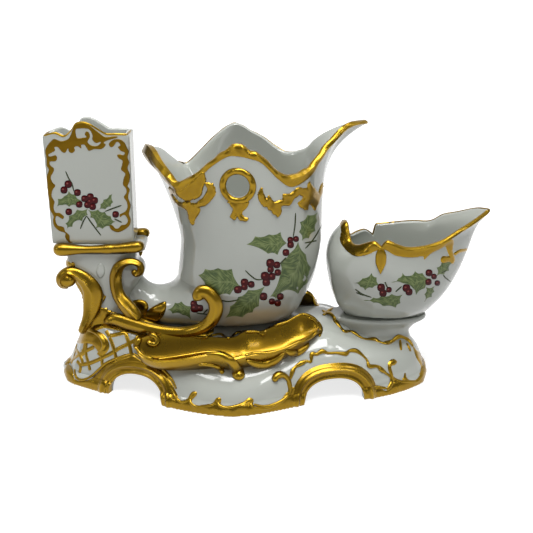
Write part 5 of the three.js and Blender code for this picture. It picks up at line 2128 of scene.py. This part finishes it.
def rounded_rectangle(share, half_x, half_y, radius):
    """A point of a rectangle with round corners, from the middle of its right side"""
    radius = min(radius, half_x * 0.98, half_y * 0.98)
    flat_x, flat_y, arc = half_x - radius, half_y - radius, radius * math.pi / 2
    total = 4 * (flat_x + flat_y + arc)
    left = (share % 1) * total
    for reach, kind in (
        (flat_y, "right"), (arc, 0), (2 * flat_x, "front"), (arc, 1), (2 * flat_y, "left"), (arc, 2),
        (2 * flat_x, "rear"), (arc, 3), (flat_y, "right again"),
    ):
        if left <= reach or kind == "right again":
            break
        left -= reach
    if kind == "right":
        return half_x, -left
    if kind == "front":
        return flat_x - left, -half_y
    if kind == "left":
        return -half_x, -flat_y + left
    if kind == "rear":
        return -flat_x + left, half_y
    if kind == "right again":
        return half_x, flat_y - left
    turn = left / radius + kind * math.pi / 2
    centre_x = flat_x if kind in (0, 3) else -flat_x
    centre_y = -flat_y if kind in (0, 1) else flat_y
    return centre_x + radius * math.cos(turn), centre_y - radius * math.sin(turn)


def box_foot():
    """Height of the box's underside"""
    box = settings("box")
    return box.ledge_underside + box.ledge_height + SEAT_GAP


def box_top(x):
    """Height of the box's wavy edge"""
    box = settings("box")
    return box_foot() + box.height + smooth_at(CREST_SHARES, x / box.width + 0.5)[1] * box.crest


def box_profile(share):
    """The box's points from its underside up to the wavy rim and down again inside"""
    box = settings("box")
    base = box_foot()
    half_x, half_y = box.width / 2, box.depth / 2
    x, y = rounded_rectangle(share, half_x, half_y, box.corner)
    top = box_top(x)
    inner_x, inner_y = x * (1 - box.wall / half_x), y * (1 - box.wall / half_y)

    def outer(height, inset=0.0):
        wide = 1 + box.flare / box.width * (height - base) / box.height
        return Vector((box.middle + x * (wide - inset / half_x), y * (1 - inset / half_y), height))

    def inner(height, outset=0.0):
        return Vector((box.middle + inner_x * (1 + outset / half_x), inner_y * (1 + outset / half_y), height))

    rows = [outer(base, 0.7 * MM), outer(base + 0.15 * MM, 0.3 * MM), outer(base + 0.6 * MM)]
    rows += [outer(base + (top - base) * step / 24) for step in range(1, 24)]
    rows += [outer(top - 0.8 * MM), outer(top - 0.25 * MM, 0.2 * MM), outer(top, 0.8 * MM)]
    rows += [inner(top, 0.7 * MM), inner(top - 0.25 * MM, 0.2 * MM), inner(top - 0.8 * MM)]
    floor = base + box.floor
    rows += [inner(top - (top - floor) * step / 8) for step in range(1, 8)]
    rows += [inner(floor + 0.8 * MM), inner(floor, -0.8 * MM)]
    return rows


def box_mesh():
    return closed_skin(BOX_COLUMNS, box_profile)


def squared(value):
    """A cosine or sine pushed out towards a square section"""
    return math.copysign(math.sqrt(abs(value)), value)


def block_profile(share):
    """The block's points from the middle of its top down its wall"""
    box = settings("box")
    around = 2 * math.pi * share
    c, s = squared(math.cos(around)), squared(math.sin(around))
    top = box.ledge_underside - SEAT_GAP

    def ring(row, shrink=1.0):
        drop, left, right, depth = row
        x = box.ledge + (left + right) / 2 * box.block_width
        x += (right - left) / 2 * box.block_width * shrink * c
        return Vector((x, -depth * box.block_depth / 2 * shrink * s, top - drop * box.block_drop))

    rows = [ring(BLOCK_SHARES[0], shrink) for shrink in (0, 0.5, 0.97)]
    return rows + dense([ring(row) for row in BLOCK_SHARES], BLOCK_ROWS)


def block_mesh():
    return closed_skin(BLOCK_COLUMNS, block_profile)


BLOCK_GOLD = [
    (50, 258), (70, 262), (73.8, 265), (81.3, 275), (96.3, 285), (104.7, 295), (103.8, 301.7), (100, 306),
    (108, 309), (118, 315), (126.3, 325), (120, 333), (84, 333), (70, 350), (45, 350),
]
BLOCK_DIMPLE = [
    (100.5, 263.5), (103.8, 266), (105, 270.8), (103.8, 275.5), (100.5, 278), (97.2, 275.5), (96, 270.8),
    (97.2, 266),
]
BOX_HOLLY_LEAVES = [
    ((81.8, 200.2), [(75, 194.5), (68.6, 190.5), (64.3, 196), (57.7, 198.6)], (55.3, 209), [(77, 205.9),
        (69, 206.8), (62.5, 205.2)]),
    ((97, 210.8), [(100.5, 204), (103.4, 199.6), (109.3, 195)], (112.9, 192.4), [(105.5, 209.4),
        (110.8, 206.6), (113.2, 202.5)]),
    ((88, 208.5), [(77, 209.5), (69, 215.8), (65.3, 223.5)], (66.8, 229), [(88, 215), (82, 221.4),
        (77, 220.4), (72.5, 227)]),
    ((87.5, 209.5), [(97.9, 209.6), (105, 211.8), (110.7, 216)], (115.8, 221.8), [(90.3, 217.5),
        (95.3, 221.5), (95.5, 228.5), (102.5, 229), (110.9, 226.6)]),
]
BOX_HOLLY_STEMS = [
    [(65.4, 170.8), (69, 179), (72, 184), (74, 191.9)],
    [(86.5, 215.8), (83, 222), (80.2, 229.2)],
    [(86.5, 215.8), (93, 225), (101.3, 235.9)],
    [(104.6, 211.5), (114, 208), (121.7, 205.3)],
    [(114.2, 218.7), (118, 220.5), (121.9, 222.5)],
]
BOX_HOLLY_BERRIES = [
    (68.3, 184.2, 3.4), (64, 190, 3.2), (77.4, 192.6, 3.1), (84.5, 198.6, 3), (90.3, 196.7, 3.1),
        (94.6, 200.5, 3.1),
    (87.4, 204.8, 3), (92.7, 206.7, 3), (79.3, 204.3, 3), (68.8, 211.8, 3), (115.6, 214.4, 3),
        (90, 201.5, 2.6),
]
# Gilt frame of the box: the left and right outlines and a hole in the left one
BOX_LEFT_GOLD = [
    (50.7, 141.6), (54.4, 138.9), (60.7, 141.2), (67.1, 139.8), (70.7, 135.3), (73.9, 126.2), (78, 123.5),
        (83.5, 122.5),
    (88.9, 125.3), (94.4, 129.4), (99.8, 133.5), (105.3, 137.1), (116.2, 136.2), (117.1, 137.5),
        (108.9, 139.8),
    (103.5, 142.5), (105.7, 144.8), (101.6, 148.9), (94.4, 148.9), (88.9, 150.7), (86.2, 147.1),
        (84.4, 144.8),
    (81.2, 144.8), (81.2, 148.5), (78, 146.2), (74.4, 147.1), (74.8, 150.7), (72.1, 153), (68.9, 151.6),
        (68, 148),
    (65.3, 152.5), (61.6, 151.6), (58, 147.1), (54.4, 147.1), (54.8, 150.7), (49.8, 153.5), (48, 155.3),
        (50.7, 156.6),
    (55.3, 155.3), (57.1, 158), (55.3, 161.2), (49.8, 161.6), (50.3, 165.3), (53.9, 168.5), (53, 172.5),
        (50.7, 177.1),
    (52.5, 182.5), (55.3, 185.7), (52.5, 189.8), (51.6, 196.2), (54.4, 201.6), (53.5, 207.1), (55.3, 212.5),
    (59.8, 213), (63.9, 216.6), (62.5, 218.9), (58, 216.2), (56.2, 216.2), (55.3, 219.8), (57.5, 225.3),
        (63.5, 227.1),
    (65.3, 231.6), (69.4, 235.3), (69.8, 240.7), (73, 242.5), (68.9, 242.5), (65.3, 237.1), (65.3, 233),
        (58.9, 230.7),
    (54.4, 226.2), (53, 220.7), (53.5, 216.2), (49.8, 208.9), (49.4, 201.6), (47.5, 192.5), (47.1, 183.5),
    (46.6, 177.1), (48.9, 169.8), (46.6, 165.3), (46.6, 158.9), (45.3, 151.6), (47.1, 146.2),
]
BOX_RIGHT_GOLD = [
    (108.9, 144.4), (110.7, 141.6), (114.4, 139.4), (119.8, 139.4), (124.4, 142.5), (127.1, 148),
        (128.9, 151.6),
    (127.5, 157.1), (129.4, 162.5), (127.5, 168), (129.8, 174.4), (129.4, 181.6), (127.5, 186.2),
        (129.8, 189.8),
    (128, 197.1), (130.7, 205.3), (128.9, 213.5), (130.7, 219.8), (128.9, 226.2), (122.5, 230.7),
        (117.1, 232.1),
    (111.6, 229.8), (109.4, 225.3), (112.5, 225.3), (115.3, 228.5), (118.9, 228), (121.2, 225.3),
        (125.7, 224.4),
    (128, 220.7), (125.3, 215.3), (122.5, 215.3), (120.3, 217.1), (119.8, 214.4), (125.3, 211.6),
        (127.5, 207.1),
    (126.6, 201.6), (123.9, 197.1), (126.6, 192.5), (125.7, 188), (123, 184.4), (123.9, 178), (125.3, 173.5),
    (121.2, 169.8), (122.1, 165.3), (122.5, 160.7), (118.9, 158.5), (117.1, 155.3), (119.8, 154.4),
        (123.5, 155.3),
    (124.8, 152.5), (120.7, 150.7), (118, 147.1), (120.7, 145.3), (117.1, 141.6), (113.5, 146.2),
        (110.7, 147.1),
]
BOX_GOLD_HOLE = [
    (75.7, 129.8), (78, 128.5), (87.1, 128.5), (90.3, 130.7), (92.5, 135.3), (92.5, 139.8), (96.2, 143),
        (100.7, 141.6),
    (99.8, 144.4), (96.2, 146.2), (90.7, 145.3), (87.5, 141.6), (89.8, 137.1), (88.9, 132.5), (86.2, 131.6),
    (84.8, 134.4), (86.6, 137.1), (81.6, 138), (77.1, 138), (75.7, 133.5),
]


BAR_HEIGHT_SHARE = 0.62
BAR_STEPS = 96
BAR_SIDES = 32
# Along the bar from left to right: radius as a share of its end's
BAR_SHARES = [
    [0, 1.02],
    [0.06, 1.12],
    [0.13, 1.08],
    [0.22, 0.86],
    [0.32, 0.68],
    [0.42, 0.63],
    [0.52, 0.69],
    [0.6, 0.8],
    [0.67, 0.76],
    [0.76, 0.84],
    [0.86, 0.94],
    [0.93, 0.98],
    [1, 0.85],
]


def bar_profile(share):
    """The gilt bar's points along its length at one place of its section"""
    box = settings("box")
    turn = 2 * math.pi * share
    reach = box.ledge_width / 2 + box.bar_overhang
    middle = box.ledge_underside + BAR_HEIGHT_SHARE * box.ledge_height
    made = []
    for step in range(BAR_STEPS + 1):
        t = 2 * step / BAR_STEPS - 1
        end = math.sqrt(max(1 - abs(t) ** 16, 0))
        radius = box.bar_end_radius * smooth_at(BAR_SHARES, (t + 1) / 2)[1] * end
        height = middle + box.bar_tilt * (t + 1) / 2 - box.bar_sag * math.cos(t * math.pi / 2)
        y = -box.ledge_depth / 2 - box.bar_radius * 0.7 + radius * math.cos(turn)
        z = height + radius * math.sin(turn) * (1 + 0.06 * math.cos(2 * turn))
        made.append(Vector((box.ledge + t * reach, y, z)))
    return made


class DESKSET_OT_box(bpy.types.Operator):
    """Builds the upright box, its ledge, the gilt bars and the block"""

    bl_idname = "deskset.box"
    bl_label = "Box, ledge and block"

    def execute(self, context):
        box = settings("box")
        finish_piece(to_object(box_mesh(), "upright_box"), "glazed_porcelain", "porcelain", "box", crease=60)

        bm = bmesh.new()
        bmesh.ops.create_cube(bm, size=1)
        bmesh.ops.scale(bm, vec=(box.ledge_width, box.ledge_depth, box.ledge_height), verts=bm.verts[:])
        for upright, offset, segments in ((True, 4 * MM, 8), (False, box.ledge_bevel, 6)):
            edges = [
                edge for edge in bm.edges if (abs(edge.verts[0].co.z - edge.verts[1].co.z) > MM) == upright
            ]
            bmesh.ops.bevel(
                bm, geom=edges, offset=offset, segments=segments, profile=0.5, affect="EDGES", material=-1
            )
        middle = Vector((box.ledge, 0, box.ledge_underside + box.ledge_height / 2))
        bmesh.ops.translate(bm, vec=middle, verts=bm.verts[:])
        bmesh.ops.recalc_face_normals(bm, faces=bm.faces[:])
        finish_piece(to_object(bm, "box_ledge"), "glazed_porcelain", "porcelain", "ledge")
        gold_pair("ledge_bar", lambda end: closed_skin(BAR_SIDES, bar_profile))

        def boss(bm, carrier):
            relief(bm, carrier, [BLOCK_DIMPLE], [], 0.8 * MM, edge=4, spacing=0.5)

        piece = to_object(block_mesh(), "block_gilded")
        painted("block_boss", boss, [block_mesh], "glazed_porcelain", "porcelain")
        gilded("block_relief_gilt", block_mesh, [BLOCK_GOLD], [], 0.8 * MM, feather=2.4)
        gild(piece, [BLOCK_GOLD], [], THIN_GOLD, everywhere)
        finish_piece(piece, "glazed_porcelain", "porcelain", "block")
        return {"FINISHED"}


def everywhere(points, normals):
    return np.ones(len(points), bool)


class DESKSET_OT_box_gilding(bpy.types.Operator):
    """Builds the gilt rim and frame of the box"""

    bl_idname = "deskset.box_gilding"
    bl_label = "Box gilding"

    def execute(self, context):
        options = {"holes": [BOX_GOLD_HOLE], "spacing": 0.6, "edge": 1.6, "finish": "dull_gilding"}
        gilded("box_frame_gilt", box_mesh, [BOX_LEFT_GOLD, BOX_RIGHT_GOLD], [], 0.3 * MM, **options)
        box = settings("box")

        def rim(share):
            x, y = rounded_rectangle(share, box.width / 2 - 0.5 * MM, box.depth / 2 - 0.5 * MM, box.corner)
            away = Vector((x / box.width, y / box.depth, 0)).normalized()
            behind = max(0, y / box.depth * 2) * 0.8 * MM
            middle = Vector((box.middle + x, y + behind * 0.5, box_top(x) - 0.25 * MM - behind))
            return [
                middle + away * 0.75 * MM * math.cos(turn) + Vector((0, 0, 0.7 * MM * math.sin(turn)))
                for turn in turns(10)
            ]

        gold_piece(closed_skin(BOX_COLUMNS, rim), "box_rim_gilt")
        return {"FINISHED"}


class DESKSET_OT_box_holly(bpy.types.Operator):
    """Paints the holly on the box"""

    bl_idname = "deskset.box_holly"
    bl_label = "Box holly"

    def execute(self, context):
        holly("box", box_mesh, BOX_HOLLY_LEAVES, BOX_HOLLY_STEMS, BOX_HOLLY_BERRIES)
        return {"FINISHED"}


# The scrolls

SCROLL_STEPS = 150
SCROLL_SIDES = 24


def scroll_mesh(rows, size, origin, width, thickness, ridge):
    """A ridged section carried along a route and tapered by its width"""
    front = Vector((0, -1, 0))

    def ring(place):
        here = smooth_row(rows, place)
        before = smooth_row(rows, place - 0.01)
        after = smooth_row(rows, place + 0.01)
        tangent = Vector((after[0] - before[0], before[2] - after[2], after[1] - before[1])).normalized()
        side = tangent.cross(front).normalized()
        raised = side.cross(tangent)
        centre = Vector((here[0], -here[2], here[1])) * size + origin
        half_width = here[3] * width / 2
        half_thick = min(thickness / 2, half_width)
        end = blunt(place, 40)
        made = []
        for turn in turns(SCROLL_SIDES):
            c, s = math.cos(turn), math.sin(turn)
            crest = 1 + ridge * max(0, 1 - abs(c) * 3.2) if s > 0 else 1
            made.append(centre + (side * half_width * c + raised * half_thick * s * crest) * end)
        return made

    return closed_skin(SCROLL_STEPS, ring)


REAR_VOLUTE_LEFT = 5 * MM
LEAF_BALL = (-0.155, 0, 0.84)
ACANTHUS_LINE = [
    (120, 300), (127, 308), (134, 315), (142, 321.5), (152, 325.5), (165, 328.5), (180, 329), (200, 326),
]
ACANTHUS_LEAVES = [
    [
        (131, 303), (136, 300), (142, 299.8), (147, 302.5), (148.3, 307.5), (147, 313), (150, 319),
            (154, 325),
        (143, 327), (136, 321), (132.5, 312),
    ],
    [
        (141, 325), (144.5, 315.5), (150, 309), (157, 304.5), (165.6, 301.4), (166, 308), (163.5, 315),
        (159, 321), (155, 327),
    ],
]


class DESKSET_OT_scrolls(bpy.types.Operator):
    """Builds the gilt hook, volute and leaf scrolls of both long sides"""

    bl_idname = "deskset.scrolls"
    bl_label = "Scrolls"

    def execute(self, context):
        s = settings("scroll")
        hook = Vector((s.hook_left, -s.hook_plane, s.hook_height))
        volute = Vector((s.volute_foot, -s.volute_plane, s.volute_foot_height))
        leaf_foot = Vector((s.leaf_foot, -s.leaf_plane, s.leaf_foot_height))
        thickness = s.thickness * 1.15

        def make_hook(end):
            return scroll_mesh(HOOK_SHARES, s.hook_length, hook, s.hook_width * 1.25, thickness, 0.1)

        def make_volute(end):
            bm = scroll_mesh(VOLUTE_SHARES, s.volute_height, volute, s.volute_stem * 1.35, thickness, 0.4)
            if end == "rear":
                bmesh.ops.translate(bm, vec=(-REAR_VOLUTE_LEFT, 0, 0), verts=bm.verts[:])
            return bm

        def make_leaf(end):
            bm = scroll_mesh(LEAF_SHARES, s.leaf_height, leaf_foot, s.leaf_width, thickness, 0.3)
            ball = Matrix.Translation(leaf_foot + Vector(LEAF_BALL) * s.leaf_height)
            spread = Matrix.Diagonal((s.leaf_width * 0.42, s.thickness * 0.7, s.leaf_width * 0.33, 1))
            bmesh.ops.create_uvsphere(bm, u_segments=40, v_segments=24, radius=1, matrix=ball @ spread)
            return bm

        gold_pair("hook_scroll", make_hook)
        gold_pair("volute_scroll", make_volute)
        gold_pair("leaf_scroll", make_leaf)

        def acanthus(bm, carrier):
            stalk = [4, 9, 13, 14, 11, 8, 6, 5]
            cordon(bm, carrier, ACANTHUS_LINE, stalk, flatten=0.55, power=3, ridge=0.3)
            relief(bm, carrier, ACANTHUS_LEAVES, [], 1.3 * MM, edge=3.5, spacing=0.5)

        painted("acanthus_gilt", acanthus, [vase_mesh, base_mesh, block_mesh])
        return {"FINISHED"}


# The finishes and the stage


class DESKSET_OT_finishes(bpy.types.Operator):
    """Makes the materials of the glaze, the gold and the painting"""

    bl_idname = "deskset.finishes"
    bl_label = "Finishes"

    def execute(self, context):
        finish = settings("finish")
        glaze_group()
        gilding_group()
        porcelain_material()
        gold_material("burnished_gold", finish.gold, 0.2, 0.12)
        gold_material("dull_gilding", finish.gold_dull, 0.38, 0)
        paint_material("painted_leaf", leaf_picture, 160, 0.3, 0.2)
        paint_material("painted_berry", berry_picture, 300, 0.16, 0.12)
        paint_material("painted_stem", stem_picture, 220, 0.25, 0.2)
        return {"FINISHED"}


def seen_directly(tree):
    """1 for what the camera, a reflection or a refraction sees, and 0 for light"""
    path = add_node(tree, "ShaderNodeLightPath")
    seen = math_node(tree, "MAXIMUM", path.outputs["Is Camera Ray"], path.outputs["Is Glossy Ray"])
    return math_node(tree, "MAXIMUM", seen, path.outputs["Is Transmission Ray"])


def add_lamp(name, size, energy, place, target, shines=True):
    """A soft square lamp. One that does not shine is a window, seen only in the glaze and the gold."""
    lamp = bpy.data.lights.new(name, "AREA")
    lamp.shape = "SQUARE"
    lamp.size = size
    lamp.energy = energy
    made = bpy.data.objects.new(name, lamp)
    made.location = place
    made.rotation_euler = (Vector(target) - Vector(place)).to_track_quat("-Z", "Y").to_euler()
    made.visible_diffuse = shines
    bpy.context.scene.collection.objects.link(made)


def add_floor():
    """The pale floor, which glows where it is seen, so that it is white away from the object"""
    bm = bmesh.new()
    bmesh.ops.create_grid(bm, x_segments=8, y_segments=8, size=8)
    floor = to_object(bm, "floor")
    tree, shader = new_material("pale_floor")
    place = {0: object_coordinates(tree)}
    away = add_node(tree, "ShaderNodeVectorMath", place, operation="LENGTH").outputs["Value"]
    surface = {
        "Base Color": (0.5, 0.5, 0.5, 1),
        "Roughness": 0.9,
        "Specular IOR Level": 0.1,
        "Emission Color": (1, 1, 1, 1),
        "Emission Strength": times(tree, seen_directly(tree), ramp(tree, away, 0.22, 0.6, 0.76)),
    }
    feed(tree, shader, surface)
    floor.data.materials.append(bpy.data.materials["pale_floor"])


def add_world():
    """A white backdrop that lights the set a little. Its reflection fades towards the front."""
    world = bpy.data.worlds.new("studio")
    bpy.context.scene.world = world
    world.use_nodes = True
    tree = world.node_tree
    tree.nodes.clear()
    way = add_node(tree, "ShaderNodeTexCoord").outputs["Generated"]
    split = add_node(tree, "ShaderNodeSeparateXYZ", {"Vector": way}).outputs
    path = add_node(tree, "ShaderNodeLightPath").outputs
    glossy = times(tree, ramp(tree, split["Y"], -0.35, 0.25, 0.2), path["Is Glossy Ray"])
    direct = math_node(tree, "MAXIMUM", path["Is Camera Ray"], path["Is Transmission Ray"])
    strength = math_node(tree, "MAXIMUM", math_node(tree, "MAXIMUM", glossy, direct), AMBIENT)
    shader = add_node(tree, "ShaderNodeBackground", {"Color": (1, 1, 1, 1), "Strength": strength})
    add_node(tree, "ShaderNodeOutputWorld", {"Surface": shader.outputs[0]})


AMBIENT = 0.3
# Name, size, energy and place of each lamp
LAMPS = [
    ("key", 0.22, 1.4, (-0.38, -0.5, 1.0)),
    ("fill", 0.2, 0.8, (0.5, -0.5, 1.0)),
    ("top", 0.6, 13.5, (0.05, -0.28, 1.12)),
]
WINDOWS = [
    (-0.78, -0.52, 0.4), (-0.46, -0.33, 0.84), (0.39, -0.68, 0.62), (0.61, -0.28, 0.75),
    (-0.13, -0.5, 0.84),
]


class DESKSET_OT_stage(bpy.types.Operator):
    """Sets up the floor, the studio light and the camera"""

    bl_idname = "deskset.stage"
    bl_label = "Stage"

    def execute(self, context):
        scene = context.scene
        shift = frame_shift()
        add_floor()
        add_world()
        middle = (shift.x, 0, 0.06)
        for name, size, energy, place in LAMPS:
            add_lamp(name, size, energy, place, middle)
        for i, place in enumerate(WINDOWS):
            add_lamp(f"window {i + 1}", 0.15, 0.8, place, middle, False)

        camera = bpy.data.cameras.new("camera")
        camera.sensor_width = SENSOR_WIDTH
        camera.lens = PICTURE_FOCAL / PICTURE_WIDTH * SENSOR_WIDTH
        camera.clip_start = 0.01
        camera.clip_end = 50
        made = bpy.data.objects.new("camera", camera)
        made.location = CAMERA_PLACE + shift
        made.rotation_euler = (math.pi / 2 - CAMERA_ELEVATION, 0, 0)
        scene.collection.objects.link(made)
        scene.camera = made
        scene.view_settings.view_transform = "Standard"
        return {"FINISHED"}


OPERATORS = [
    DESKSET_OT_finishes,
    DESKSET_OT_base,
    DESKSET_OT_base_mouldings,
    DESKSET_OT_base_lines,
    DESKSET_OT_vase,
    DESKSET_OT_vase_gilding,
    DESKSET_OT_vase_holly,
    DESKSET_OT_trays,
    DESKSET_OT_bowl,
    DESKSET_OT_bowl_holly,
    DESKSET_OT_box,
    DESKSET_OT_box_gilding,
    DESKSET_OT_box_holly,
    DESKSET_OT_scrolls,
    DESKSET_OT_stage,
]


class DESKSET_PT_sidebar(bpy.types.Panel):
    """Lists the steps that build the desk set"""

    bl_idname = "DESKSET_PT_sidebar"
    bl_label = "Desk Set"
    bl_space_type = "VIEW_3D"
    bl_region_type = "UI"
    bl_category = "Desk Set"

    def draw(self, context):
        for operator in OPERATORS:
            self.layout.operator(operator.bl_idname)


def register():
    for name, kind in SETTINGS.items():
        bpy.utils.register_class(kind)
        setattr(bpy.types.Scene, name, bpy.props.PointerProperty(type=kind))
    for kind in [*OPERATORS, DESKSET_PT_sidebar]:
        bpy.utils.register_class(kind)


def unregister():
    for kind in [DESKSET_PT_sidebar, *reversed(OPERATORS)]:
        bpy.utils.unregister_class(kind)
    for name, kind in reversed(SETTINGS.items()):
        delattr(bpy.types.Scene, name)
        bpy.utils.unregister_class(kind)


def main():
    register()
    for operator in OPERATORS:
        section, step = operator.bl_idname.split(".")
        getattr(getattr(bpy.ops, section), step)()


if __name__ == "__main__":
    main()
